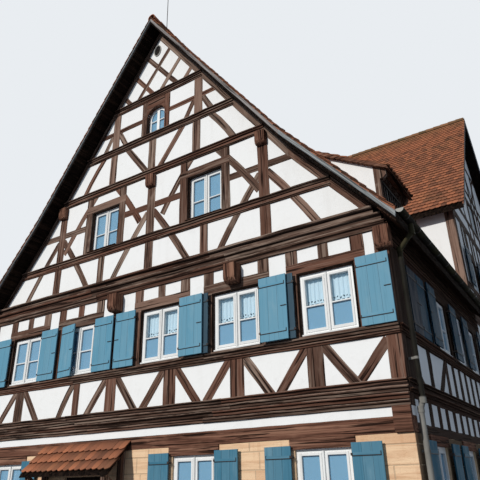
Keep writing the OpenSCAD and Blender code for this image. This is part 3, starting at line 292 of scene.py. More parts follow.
def place(plane, p):
    """Points of a wall's plane, (along, up, out), as points of the house. Each plane is one turn
    and one shift: the front looks along Y, the sides along X, the left mirrors the right."""
    a, up, out = p[..., 0], p[..., 1], p[..., 2]
    if plane == "flat":
        return p
    if plane == "front":
        return np.stack([a, FRONT_Y - out, up], -1)
    if plane == "cross":
        return np.stack([a, FRONT_Y + FRONT_L - out, up], -1)
    if plane == "back":
        return np.stack([-a, -FRONT_Y + out, up], -1)
    side = 1 if plane == "right" else -1
    return np.stack([side * (HALF_W + out), FRONT_Y + a, up], -1)


def fan(face):
    """The triangles of a face, all from its first corner."""
    return [(face[0], face[i], face[i + 1]) for i in range(1, len(face) - 1)]


def link_object(name, data):
    """A new object in the scene."""
    thing = bpy.data.objects.new(name, data)
    bpy.context.scene.collection.objects.link(thing)
    return thing


def dress(thing, material, replaced=()):
    """Gives a new piece its material and body, and hides the nodes that it stands for."""
    thing.data.materials.clear()
    thing.data.materials.append(MATERIALS[material])
    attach(thing, "root")
    if replaced:
        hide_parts(*replaced)
    return thing


class Shape:
    """Gathers many closed forms of a few kinds into one mesh with its point attributes."""

    def __init__(self):
        self.points, self.faces, self.count = [], [], 0
        # The fourth field marks painted shade under tiles, painted shade and dirt in moulding
        # hollows, painted shade on shutter leaves behind others, and also lost paint and the
        # gutter's light zinc ends.
        self.fields = {"grain": [], "tone": [], "across": [], "soil": []}

    def add(self, points, template, grain=None, tone=0.0, across=0.0, soil=0.0):
        """points is (forms, points of a form, 3) and template the faces of one form. Each form's
        signed volume, the sum of a.(b x c) / 6 over its triangles, says whether its faces point
        outwards, and those of a form turned inside out are reversed."""
        total = points.shape[:2]
        triangles = np.array([t for face in template for t in fan(face)])
        a, b, c = (points[:, triangles[:, i]] for i in range(3))
        centre = points.mean(1, keepdims=True)
        volume = ((a - centre) * np.cross(b - centre, c - centre)).sum((1, 2))
        starts = self.count + total[1] * np.arange(total[0])
        for corners in sorted({len(face) for face in template}):
            kind = np.array([face for face in template if len(face) == corners])
            for these, mask in ((kind, volume >= 0), (kind[:, ::-1], volume < 0)):
                if mask.any():
                    self.faces.append((starts[mask][:, None, None] + these).reshape(-1, corners))
        self.points.append(points.reshape(-1, 3))
        self.count += total[0] * total[1]
        grain = points if grain is None else grain
        self.fields["grain"].append(np.broadcast_to(grain, total + (3,)).reshape(-1, 3))
        for field, values in (("tone", tone), ("across", across), ("soil", soil)):
            self.fields[field].append(np.broadcast_to(values, total).reshape(-1))

    def piece(self, name, material, slot, replaced=(), smooth=False):
        """Puts the arrays into a mesh object that rides on the house."""
        mesh = bpy.data.meshes.new(name)
        points = np.concatenate(self.points)
        sizes = np.concatenate([np.full(len(f), f.shape[1]) for f in self.faces])
        corners = np.concatenate([f.ravel() for f in self.faces])
        mesh.vertices.add(len(points))
        mesh.vertices.foreach_set("co", points.astype(np.float32).ravel())
        mesh.loops.add(len(corners))
        mesh.loops.foreach_set("vertex_index", corners.astype(np.int32))
        mesh.polygons.add(len(sizes))
        starts = np.concatenate([[0], np.cumsum(sizes)[:-1]])
        mesh.polygons.foreach_set("loop_start", starts.astype(np.int32))
        mesh.polygons.foreach_set("use_smooth", np.full(len(sizes), smooth))
        for field, parts in self.fields.items():
            values = np.concatenate(parts).astype(np.float32)
            kind, key = ("FLOAT_VECTOR", "vector") if values.ndim == 2 else ("FLOAT", "value")
            mesh.attributes.new(field, kind, "POINT").data.foreach_set(key, values.ravel())
        mesh.update(calc_edges=True)
        mesh.validate()
        return dress(link_object(name, mesh), material, replaced)


def cut_spans(low, high, gaps, smallest=0.04):
    """The parts of a stretch that are left between the gaps, without the smallest ones."""
    spans = [(low, high)]
    for g0, g1 in gaps:
        spans = [s for lo, hi in spans for s in ((lo, min(hi, g0)), (max(lo, g1), hi))]
        spans = [s for s in spans if s[1] - s[0] > smallest]
    return spans


def tube_template(rings, sides):
    """Faces of a closed bar: quads between neighbouring rings of points, and a cap at each end."""
    i, j = np.meshgrid(np.arange(rings - 1), np.arange(sides), indexing="ij")
    near, far = i * sides, (i + 1) * sides
    step_on = (j + 1) % sides
    quads = np.stack([near + j, near + step_on, far + step_on, far + j], -1).reshape(-1, 4)
    last = (rings - 1) * sides
    return quads.tolist() + [list(range(sides))[::-1], list(range(last, last + sides))]


def boxes(shape, plane, low, high, rng, chamfer=0.004):
    """Boxes on a wall's plane, from their low to their high corners, whose front edges are broken:
    three rectangles one behind the other, the front one smaller by the chamfer. The grain runs
    along the longest side."""
    low, high = np.array(low, float), np.array(high, float)
    long = high - low
    c = np.minimum(chamfer, 0.3 * long.min(1))[:, None]
    corner = np.array([[0, 0], [1, 0], [1, 1], [0, 1]])
    flat = low[:, None, :2] + corner * long[:, None, :2]
    inner = flat + (1 - 2 * corner) * c[..., None]
    rings = [
        np.concatenate([outline, np.repeat(depth[:, None], 4, 1)], -1)
        for outline, depth in ((flat, low[:, 2:]), (flat, high[:, 2:] - c), (inner, high[:, 2:]))
    ]
    local = np.concatenate(rings, 1)
    order = np.array([[0, 1, 2], [1, 0, 2], [2, 0, 1]])[np.argmax(long, 1)][:, None]
    grain = np.take_along_axis(local, np.broadcast_to(order, local.shape), 2)
    grain = grain + rng.uniform(0, 40, (len(low), 1, 3))
    middle, reach = (low + high) / 2, np.maximum(long / 2, 1e-6)
    share = (local - middle[:, None]) / reach[:, None]
    second = np.broadcast_to(order[..., 1:2], local.shape[:2] + (1,))
    across = np.take_along_axis(share, second, 2)[..., 0]
    tone = rng.random((len(low), 1))
    shape.add(place(plane, local), tube_template(3, 4), grain, tone, across)


# ---- Materials

FIBRES, CRACKS = (1.2, 38.0, 38.0), (0.7, 24.0, 24.0)
LEVEL = {"fibres": (1.2, 1.2, 42.0), "cracks": (0.8, 0.8, 26.0)}
UPRIGHT = {"fibres": (42.0, 42.0, 1.2), "cracks": (26.0, 26.0, 0.8)}
DECKING = {"fibres": (30.0, 1.2, 30.0), "cracks": (20.0, 0.8, 20.0)}
FLOORING = {"fibres": (30.0, 1.2, 30.0), "cracks": (12.0, 0.5, 12.0)}
MATT_SPECULAR = 0.02
GROUPS, MATERIALS = {}, {}


def shade(colour, share):
    """A colour times a share."""
    return [share * c for c in colour]


class Nodes:
    """A node tree with the operations that the finishes use. Each gives back a socket."""

    def __init__(self, tree):
        self.tree = tree

    def set(self, sockets, values):
        """Each named socket takes another node's socket, a number, a vector or a colour."""
        for key, value in values.items():
            socket = sockets[key]
            if isinstance(value, bpy.types.NodeSocket):
                self.tree.links.new(value, socket)
            elif socket.type == "RGBA" and len(value) == 3:
                socket.default_value = (*value, 1)
            else:
                socket.default_value = value

    def add(self, kind, inputs=None, **settings):
        """The outputs of a new node with its settings and inputs."""
        node = self.tree.nodes.new(kind)
        for key, value in settings.items():
            setattr(node, key, value)
        self.set(node.inputs, inputs or {})
        return node.outputs

    def math(self, operation, a, b=0.0, clamp=False):
        """A sum, product or test of two values."""
        return self.add("ShaderNodeMath", {0: a, 1: b}, operation=operation, use_clamp=clamp)[0]

    def times(self, a, b):
        """The product of two values."""
        return self.math("MULTIPLY", a, b)

    def step(self, value, low, high, to_low=0.0, to_high=1.0):
        """A smooth step from to_low to to_high while the value goes from low to high."""
        ends = {"From Min": low, "From Max": high, "To Min": to_low, "To Max": to_high}
        ends["Value"] = value
        return self.add("ShaderNodeMapRange", ends, interpolation_type="SMOOTHSTEP")[0]

    def noise(self, vector, scale, detail=4.0, roughness=0.55, distortion=0.0):
        """Noise from 0 to 1."""
        inputs = {"Vector": vector, "Scale": scale, "Detail": detail, "Roughness": roughness}
        inputs["Distortion"] = distortion
        return self.add("ShaderNodeTexNoise", inputs)["Fac"]

    def scaled(self, vector, factors):
        """A vector times factors, axis by axis."""
        return self.add("ShaderNodeVectorMath", {0: vector, 1: factors}, operation="MULTIPLY")[0]

    def mixed(self, factor, a, b):
        """Colour a where the factor is 0 and b where it is 1."""
        return self.add("ShaderNodeMix", {0: factor, 6: a, 7: b}, data_type="RGBA")[2]

    def axes(self, vector):
        """The X, Y and Z of a vector."""
        return self.add("ShaderNodeSeparateXYZ", {"Vector": vector})

    def seen_or_mirrored(self):
        """1 for rays from the camera and for those that metal or glass send on."""
        path = self.add("ShaderNodeLightPath")
        sent_on = self.math("MAXIMUM", path["Is Glossy Ray"], path["Is Transmission Ray"])
        return self.math("MAXIMUM", path["Is Camera Ray"], sent_on)


class Finish(Nodes):
    """A new material with its Principled shader, its object coordinates, and the colour that its
    layers have made so far."""

    def __init__(self, name, roughness=0.8, metallic=0.0):
        self.material = bpy.data.materials.new(name)
        self.material.use_nodes = True
        super().__init__(self.material.node_tree)
        self.shader = self.tree.nodes["Principled BSDF"].inputs
        self.set(self.shader, {"Roughness": roughness, "Metallic": metallic})
        if roughness > 0.5 and not metallic:
            self.set(self.shader, {"Specular IOR Level": MATT_SPECULAR})
        self.where = self.add("ShaderNodeTexCoord")["Object"]
        self.base = None

    def own(self, name):
        """The piece's own grain, tone, across or fourth field."""
        output = "Vector" if name == "grain" else "Fac"
        return self.add("ShaderNodeAttribute", attribute_name=name)[output]

    def use(self, group_name, **values):
        """A shared group with this material's own values."""
        return self.add("ShaderNodeGroup", values, node_tree=GROUPS[group_name])

    def weather(self, scale, low, high):
        """The shared weather on object coordinates."""
        return self.use("weather", Vector=self.where, Scale=scale, Low=low, High=high)

    def layer(self, factor, colour):
        """Lays a colour over what is there, where the factor is 1."""
        self.base = self.mixed(factor, self.base, colour)

    def bump(self, height, distance, strength):
        """The shader's normal follows a height."""
        inputs = {"Height": height, "Distance": distance, "Strength": strength}
        self.set(self.shader, {"Normal": self.add("ShaderNodeBump", inputs)[0]})

    def done(self, height, distance, strength, roughness=None):
        """Ties the colour, the height and the roughness to the shader."""
        self.set(self.shader, {"Base Color": self.base})
        if roughness is not None:
            self.set(self.shader, {"Roughness": roughness})
        self.bump(height, distance, strength)
        return self.material


def group(name, inputs, outputs):
    """A new node group whose inputs have defaults, a number or a vector: its nodes, the sockets
    of its inputs and those of its outputs."""
    tree = bpy.data.node_groups.new(name, "ShaderNodeTree")
    for label, default in inputs.items():
        kind = "NodeSocketFloat" if isinstance(default, float) else "NodeSocketVector"
        socket = tree.interface.new_socket(label, in_out="INPUT", socket_type=kind)
        socket.default_value = default
    for label in outputs:
        tree.interface.new_socket(label, in_out="OUTPUT", socket_type="NodeSocketFloat")
    nodes = Nodes(tree)
    return nodes, nodes.add("NodeGroupInput"), tree.nodes.new("NodeGroupOutput").inputs


def make_grain_group():
    """Wood: fibres and broader streaks are noise drawn out along the first axis, cracks are the
    rare low values of another, and patches are broad clouds."""
    inputs = {"Vector": (0, 0, 0), "Fibres": FIBRES, "Cracks": CRACKS}
    n, i, o = group("House wood grain", inputs, ("Fibre", "Streak", "Crack", "Patch", "Height"))
    drawn = n.scaled(i["Vector"], i["Fibres"])
    fibre = n.noise(drawn, 1.0, 5.0, 0.6, 0.4)
    streak = n.noise(drawn, 0.38, 3.0, 0.6, 0.5)
    rare = n.noise(n.scaled(i["Vector"], i["Cracks"]), 1.0, 3.0, 0.5, 0.3)
    crack = n.step(rare, 0.37, 0.43, 1.0, 0.0)
    patch = n.noise(n.scaled(i["Vector"], (1.5, 3.0, 3.0)), 1.0, 3.0, 0.6)
    raised = n.math("ADD", fibre, n.times(streak, 0.8))
    height = n.math("SUBTRACT", raised, n.times(crack, 1.2))
    n.set(o, {"Fibre": fibre, "Streak": streak, "Crack": crack, "Patch": patch, "Height": height})
    return n.tree


def make_weather_group():
    """Weather: broad clouds, runs drawn out along Z, and fine noise."""
    inputs = {"Vector": (0, 0, 0), "Scale": 1.0, "Low": 0.5, "High": 0.75}
    n, i, o = group("House weather", inputs, ("Clouds", "Runs", "Fine"))
    clouds = n.noise(i["Vector"], i["Scale"], 6.0, 0.62)
    runs = n.noise(n.scaled(i["Vector"], (5.0, 5.0, 0.6)), i["Scale"], 5.0, 0.6)
    fine = n.noise(i["Vector"], n.times(i["Scale"], 40.0), 3.0, 0.6)
    n.set(o, {"Clouds": n.step(clouds, i["Low"], i["High"]), "Fine": fine})
    n.set(o, {"Runs": n.step(runs, i["Low"], i["High"])})
    return n.tree


def make_wear_group():
    """Worn edges: 1 near the sides of a piece, where the across value nears 1, broken by noise."""
    inputs = {"Across": 0.0, "Vector": (0, 0, 0), "Start": 0.75}
    n, i, o = group("House edge wear", inputs, ("Wear",))
    near = n.step(n.math("ABSOLUTE", i["Across"]), i["Start"], 1.0)
    ragged = n.step(n.noise(n.scaled(i["Vector"], (3.0, 12.0, 12.0)), 1.0, 4.0, 0.6), 0.4, 0.62)
    n.set(o, {"Wear": n.times(near, ragged)})
    return n.tree


def wood_material(
    name, colours, fibres=FIBRES, cracks=CRACKS, member=False, worn=0.3, level_under=None
):
    """Wood between a dark, a stained and a worn colour: fibres and streaks set the stain, cracks are
    dark, patches and edges are worn. A member reads its own grain, tone, across and fourth field. In
    the dark colour it gets painted shade and dirt in the hollows that the fourth field marks and,
    unless it is a much worn one, a painted shadow line along its outer edges. Under a given height X
    and Z change places, so that upright grain lies level."""
    dark, warm, light = colours
    m = Finish(name)
    vector = m.own("grain") if member else m.where
    if level_under is not None:
        axes = m.axes(m.where)
        turned = {"X": axes["Z"], "Y": axes["Y"], "Z": axes["X"]}
        turned = m.add("ShaderNodeCombineXYZ", turned)[0]
        vector = m.mixed(m.math("LESS_THAN", axes["Z"], level_under), m.where, turned)
    grain = m.use("grain", Vector=vector, Fibres=fibres, Cracks=cracks)
    deep = shade(warm, 0.42)
    m.base = m.mixed(m.step(grain["Fibre"], 0.38, 0.58), deep, warm)
    m.layer(m.step(grain["Streak"], 0.48, 0.66, 0.0, 0.75), light)
    m.layer(m.step(grain["Patch"], 0.52, 0.78, 0.0, 0.5), light)
    m.layer(m.step(grain["Patch"], 0.44, 0.28, 0.0, 0.6), deep)
    if member:
        tone, across = m.own("tone"), m.own("across")
        reddish = m.step(m.math("FRACT", m.times(tone, 7.0)), 0.4, 0.9, 0.0, 0.6)
        m.layer(reddish, (1.25 * warm[0], 0.95 * warm[1], 0.85 * warm[2]))
        m.layer(m.step(tone, 0.0, 0.45, 0.4, 0.0), deep)
        m.layer(m.step(tone, 0.7, 1.0, 0.0, 0.3), light)
        edge = m.use("wear", Across=across, Vector=vector)
        m.layer(m.times(edge["Wear"], worn), light)
        # Painted shadow line along the outer edges, and painted shade and dirt in the marked
        # hollows, both in the dark colour.
        edge_shadow = m.step(m.math("ABSOLUTE", across), 0.93, 1.0, 0.0, 0.0 if worn > 0.5 else 0.7)
        m.layer(m.math("MAXIMUM", m.times(m.own("soil"), 0.92), edge_shadow), dark)
    m.layer(m.times(grain["Crack"], 0.92), dark)
    return m.done(grain["Height"], 0.008, 0.9, m.step(grain["Fibre"], 0.3, 0.7, 0.72, 0.9))


def plaster_material(settings):
    """Lime wash: white with faint clouds, fine runs and a trowelled grain."""
    m = Finish("Plaster", 0.9)
    broad, near = m.weather(0.9, 0.48, 0.8), m.weather(4.0, 0.5, 0.78)
    m.base = m.mixed(m.times(broad["Runs"], 0.14), settings.plaster, settings.stain)
    m.layer(m.times(near["Clouds"], 0.1), settings.stain)
    return m.done(m.math("ADD", near["Fine"], m.times(near["Clouds"], 1.5)), 0.004, 0.6)


def stone_material(name, light, dark, member=True, corner_shade=False):
    """Sandstone: beds are noise drawn out sideways, pits are fine noise, each stone has its tone.
    With the last flag set, the stones get painted shade where they turn the right corner, behind the
    downpipe."""
    m = Finish(name, 0.92)
    beds = m.noise(m.scaled(m.where, (0.6, 0.6, 9.0)), 1.0, 5.0, 0.6, 0.8)
    pits = m.noise(m.where, 42.0, 4.0, 0.65)
    m.base = m.mixed(m.step(beds, 0.4, 0.7, 0.0, 0.7), light, dark)
    if member:
        tone = m.own("tone")
        m.layer(m.times(tone, 0.5), light)
        m.layer(m.step(tone, 0.7, 1.0, 0.0, 0.5), dark)
    # Painted shade on the stones' faces at the right corner.
    if corner_shade:
        out = m.axes(m.where)["X"]
        corner = m.step(out, HALF_W - 0.015, HALF_W - 0.006, 0.0, 0.75)
        m.layer(corner, shade(dark, 0.15))
    m.layer(m.times(m.weather(2.2, 0.5, 0.75)["Runs"], 0.4), dark)
    m.layer(m.step(pits, 0.4, 0.3, 0.0, 0.5), dark)
    return m.done(m.math("ADD", pits, m.times(beds, 1.4)), 0.01, 0.8)


def tile_material(name, settings, fresh=0.5, lichen=0.4):
    """Fired clay: each tile lies between old and new clay by its tone, a few are far darker, its
    lower face and what the next course covers get painted shade, and lichen grows in clouds and
    specks and along the highest ridge."""
    m = Finish(name, 0.85)
    tone = m.own("tone")
    clay = m.step(tone, 0.0, 0.9, fresh - 0.3, fresh + 0.5)
    m.base = m.mixed(clay, settings.brown, settings.orange)
    m.layer(m.step(tone, 0.14, 0.06, 0.0, 0.7), settings.soot_and_shade)
    speck = m.noise(m.where, 26.0, 4.0, 0.7)
    clouds = m.weather(1.3, 0.45, 0.72)["Clouds"]
    grown = m.times(clouds, m.step(speck, 0.42, 0.6, 0.25, 1.0))
    m.layer(m.times(grown, lichen), settings.lichen)
    crest = m.step(m.axes(m.where)["Z"], 15.9, 17.1, 0.0, 0.7)
    m.layer(m.times(crest, m.step(speck, 0.38, 0.56, 0.3, 1.0)), settings.lichen)
    m.layer(m.step(speck, 0.58, 0.7, 0.0, 0.5), settings.soot_and_shade)
    # Painted shade, in half strength soot colour, on each tile's lower face and where the next
    # course covers it.
    m.layer(m.step(m.own("soil"), 0.0, 1.0, 0.0, 0.85), shade(settings.soot_and_shade, 0.5))
    return m.done(speck, 0.004, 0.8)


def paint_material(name, paint, bare, old_and_shade, fade=0.5, groove=0.5):
    """Paint on boards: each board has its tone, and paint is thin along edges and cracks. Where the
    fourth field is 1 the board has the old colour: lost paint on the first side windows' left
    leaves, and painted shade on the front leaves that lie behind their neighbours."""
    m = Finish(name, 0.55)
    vector, across = m.own("grain"), m.own("across")
    grain = m.use("grain", Vector=vector, Fibres=(1.5, 55.0, 55.0), Cracks=(0.8, 30.0, 30.0))
    m.base = m.mixed(m.times(m.own("tone"), 0.22), paint, bare)
    m.layer(m.step(grain["Streak"], 0.5, 0.75, 0.0, fade * 0.6), bare)
    m.layer(m.step(grain["Patch"], 0.5, 0.8, 0.0, fade), bare)
    faded = m.mixed(m.step(grain["Streak"], 0.4, 0.65), shade(old_and_shade, 0.75), old_and_shade)
    # The old colour: lost paint, and painted shade on leaves that lie behind others.
    m.layer(m.times(m.own("soil"), 0.8), faded)
    edge = m.use("wear", Across=across, Vector=vector, Start=0.82)
    m.layer(m.times(edge["Wear"], fade * 0.6), bare)
    m.layer(m.step(m.math("ABSOLUTE", across), 0.985, 1.0, 0.0, groove), shade(paint, 0.3))
    m.layer(m.times(grain["Crack"], 0.6 * groove), shade(paint, 0.4))
    return m.done(grain["Height"], 0.0012, 0.7, m.step(grain["Patch"], 0.4, 0.8, 0.45, 0.75))


def joinery_material(name, paint, stain):
    """Painted joinery on a solid without grain of its own: faint runs and dust."""
    m = Finish(name, 0.45)
    weather = m.weather(3.0, 0.5, 0.8)
    m.base = m.mixed(m.times(weather["Runs"], 0.3), paint, stain)
    return m.done(weather["Fine"], 0.0008, 0.5)


def metal_material(name, colour_a, colour_b, dirt, roughness, metallic):
    """Weathered metal: clouds between two tones, with dirt in runs."""
    m = Finish(name, roughness, metallic)
    runs = m.weather(5.0, 0.5, 0.72)
    m.base = m.mixed(m.weather(2.5, 0.35, 0.7)["Clouds"], colour_a, colour_b)
    m.layer(m.times(runs["Runs"], 0.4), dirt)
    rough = m.step(runs["Runs"], 0.0, 1.0, roughness, roughness + 0.3)
    return m.done(runs["Fine"], 0.0015, 0.6, rough)


def pipe_material(metal):
    """The downpipe: dark paint under the eave, mossy in the swan neck, and bare light zinc below
    the timbers and at the upper bracket, all by height."""
    m = Finish("Downpipe", 0.55)
    height = m.axes(m.where)["Z"]
    clouds, runs = m.weather(2.5, 0.35, 0.7)["Clouds"], m.weather(5.0, 0.5, 0.72)
    bare = m.mixed(clouds, shade(metal.zinc_light, 0.6), shade(metal.zinc_light, 0.4))
    dark = m.mixed(clouds, shade(metal.zinc, 0.45), shade(metal.zinc, 0.25))
    bracket = m.times(m.step(height, 3.755, 3.762), m.step(height, 3.806, 3.8))
    m.base = m.mixed(m.math("MAXIMUM", bracket, m.step(height, 3.16, 3.12)), dark, bare)
    m.layer(m.step(height, 5.5, 5.75, 0.0, 0.75), metal.moss)
    m.layer(m.times(runs["Runs"], 0.35), metal.moss)
    return m.done(runs["Fine"], 0.0015, 0.6, m.step(runs["Runs"], 0.0, 1.0, 0.5, 0.8))


def gutter_material(metal):
    """The gutter: moss and dirt in broad patches over dark zinc, and light zinc at its ends."""
    m = Finish("Mossy gutter", 0.75)
    clouds, fine = m.weather(1.6, 0.42, 0.66)["Clouds"], m.weather(9.0, 0.45, 0.65)
    m.base = m.mixed(clouds, shade(metal.zinc, 0.35), shade(metal.moss, 0.7))
    m.layer(m.times(fine["Clouds"], 0.5), shade(metal.moss, 0.35))
    m.layer(m.times(m.own("soil"), 0.9), metal.zinc_light)
    return m.done(fine["Fine"], 0.002, 0.7)


def lace_material(settings):
    """Lace: a fine close net, and eyelets over its hem, as alpha over the cloth's own places."""
    m = Finish("Lace", 0.9)
    cloth = m.own("grain")
    dots = {"Vector": cloth, "Scale": 14.0, "Randomness": 0.1}
    dots = m.add("ShaderNodeTexVoronoi", dots)["Distance"]
    net = m.noise(cloth, 160.0, 2.0, 0.5)
    eyelets = m.times(m.step(dots, 0.3, 0.2), m.step(m.axes(cloth)["Y"], 0.46, 0.47))
    solid = m.math("SUBTRACT", m.step(net, 0.35, 0.6, 0.85, 1.0), eyelets, clamp=True)
    m.set(m.shader, {"Alpha": solid})
    m.base = m.mixed(m.step(net, 0.3, 0.7), shade(settings.lace, 0.85), settings.lace)
    return m.done(net, 0.0006, 0.5)


def glass_material(settings):
    """Old window glass, smooth and a little wavy, whose colour is a painted reflection of the light
    blue sky: a sheet that lets a little more than half of what lies behind it through, and nearly
    all of it over the upper panes of the front's last three windows, where the lace hangs."""
    m = Finish("Window glass", 0.04)
    axes = m.axes(m.where)
    middle, sill, _, high = FRONT_WINDOWS[2]
    before_lace = m.math("GREATER_THAN", axes["X"], middle - WINDOW_W)
    for axis, operation, limit in (
        ("Y", "LESS_THAN", FRONT_Y + 0.3),
        ("Z", "LESS_THAN", sill + high),
        ("Z", "GREATER_THAN", sill + 0.46 * high),
    ):
        before_lace = m.times(before_lace, m.math(operation, axes[axis], limit))
    # Much less of the painted sky reflection over the lace.
    alpha = m.math("SUBTRACT", 0.48, m.times(before_lace, 0.42))
    m.set(m.shader, {"Base Color": settings.pane_sky_reflection, "Alpha": alpha, "IOR": 1.5})
    m.bump(m.noise(m.where, 3.0, 2.0, 0.5), 0.002, 0.3)
    return m.material


def make_timber_materials(timber):
    """The finishes of wood: each trio is cracks, stained wood and worn wood."""
    oak = (timber.dark, timber.warm, timber.light)
    # Dark oak, about half the stained oak: painted shade on the right wall's timbers. The wall
    # plates and the door's planks use it too.
    deep_oak = (timber.dark, linear(48, 36, 31), linear(80, 65, 57))
    red_oak = (timber.dark, linear(114, 80, 66), linear(156, 118, 98))
    moulding = (timber.dark, shade(timber.warm, 0.82), shade(timber.light, 0.9))
    # Darker copy of the mouldings' wood: painted shade for the right wall.
    dark_moulding = (timber.dark, linear(62, 46, 38), linear(116, 92, 78))
    board = (linear(62, 62, 62), linear(134, 138, 139), linear(178, 182, 184))
    # Dark wood for the eave boards and the gable's sills: painted shade.
    soffit = (linear(10, 8, 7), linear(58, 42, 34), linear(112, 86, 70))
    # Near black wood: painted shade on the roofs' boarding and in the strips round the front
    # windows.
    black_oak = (linear(9, 7, 6), linear(26, 19, 16), linear(46, 35, 29))
    grey_board = (linear(30, 28, 28), linear(92, 88, 85), linear(140, 136, 131))
    members = {
        "timber": ("Timber", oak, 0.3),
        "dark_timber": ("Shaded timber", deep_oak, 0.3),
        "moulding": ("Moulded timber", moulding, 0.75),
        "dark_moulding": ("Shaded mouldings", dark_moulding, 0.75),
        "red_timber": ("Wall plate timber", red_oak, 0.3),
        "plank": ("Planks", deep_oak, 0.3),
        "soffit": ("Soffit boards", soffit, 0.3),
        "verge": ("Verge boards", board, 0.6),
        "grey_board": ("Grey boards", grey_board, 0.3),
    }
    for key, (name, colours, worn) in members.items():
        MATERIALS[key] = wood_material(name, colours, member=True, worn=worn)
    console_foot = FLOOR_Z + 0.1
    MATERIALS.update(
        timber_level=wood_material("Level timber", deep_oak, **LEVEL),
        timber_upright=wood_material("Upright timber", oak, **UPRIGHT),
        lintel=wood_material("Lintel timber", red_oak, **LEVEL),
        red_upright=wood_material("Carved heads", red_oak, level_under=console_foot, **UPRIGHT),
        deck=wood_material("Roof boarding", black_oak, **DECKING),
        floor_boards=wood_material("Floor boards", oak, **FLOORING),
    )


def make_materials(scene):
    """All finishes, from the settings."""
    wall, roof = scene.house_wall, scene.house_roof
    joinery, metal = scene.house_joinery, scene.house_metal
    GROUPS.update(grain=make_grain_group(), weather=make_weather_group(), wear=make_wear_group())
    make_timber_materials(scene.house_timber)
    # Darker copy of the ground floor paint: painted shade on the right wall's ground floor shutters.
    shaded_blue = shade(joinery.deep_blue, 0.6)
    bright, iron, old_and_shade = metal.zinc_light, metal.iron, joinery.old_and_shade
    shaded_stone, mortar, flag = wall.painted_shade_stone, wall.mortar, wall.stone_dark
    MATERIALS.update(
        plaster=plaster_material(wall),
        stone=stone_material("Sandstone", wall.stone, wall.stone_dark, corner_shade=True),
        grey_stone=stone_material("Sandstone in painted shade", shaded_stone, shade(shaded_stone, 0.55)),
        mortar=stone_material("Mortar", mortar, shade(mortar, 0.75), member=False),
        flags=stone_material("Flagstones", flag, shade(flag, 0.6), member=False),
        tile=tile_material("Plain tiles", roof, 0.3, 0.5),
        bed_tile=tile_material("Bedded tile edges", roof, 0.1, 0.3),
        wing_tile=tile_material("Wing tiles", roof, 0.5, 0.35),
        white_paint=joinery_material("White joinery", joinery.white, wall.stain),
        casement=paint_material("Casement paint", joinery.white, wall.stain, old_and_shade, 0.25, 0.15),
        shutter=paint_material("Shutter paint", joinery.blue, joinery.bare, old_and_shade, 0.4, 0.22),
        teal_shutter=paint_material(
            "Side shutter paint", joinery.teal, joinery.teal_worn, old_and_shade, 0.4
        ),
        deep_shutter=paint_material(
            "Ground shutter paint", joinery.deep_blue, joinery.bare, old_and_shade, 0.3, 0.3
        ),
        side_shutter=paint_material(
            "Shaded ground shutters", shaded_blue, joinery.deep_blue, old_and_shade, 0.3, 0.4
        ),
        zinc=pipe_material(metal),
        mossy_zinc=gutter_material(metal),
        ring=metal_material("Vent ring", bright, shade(bright, 0.75), metal.zinc, 0.5, 0.2),
        iron=metal_material("Iron", iron, shade(iron, 1.8), metal.rust, 0.6, 0.5),
        lace=lace_material(joinery),
        glass=glass_material(joinery),
    )


def give(material, *names):
    """A carried-over CAD node gets a finish."""
    for name in names:
        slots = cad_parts[name].data.materials
        slots.clear()
        slots.append(MATERIALS[material])


# ---- Timbers

# Each layer of timbers lies this far behind the last, so that no two faces share a plane
LAYER_STEP = 0.001
# Waves on a timber's face, and how far rough timbers stop short of their wall's ends
FACE_WAVES, CORNER_GAP = 0.003, 0.02
# The side walls' timbers are this much rougher than the front's
SIDE_ROUGH = 2.6


def stray(rng, t, long, scale):
    """From 0 to scale along a run: the mean of three sines of the length, of random phase."""
    count = (3, len(long), 1)
    waves, phase = rng.uniform(0.6, 3.0, count), rng.uniform(0, 2 * np.pi, count)
    sines = np.sin(waves * 2 * np.pi * t * long / 1.5 + phase).mean(0)
    return scale * (0.5 + 0.5 * sines)


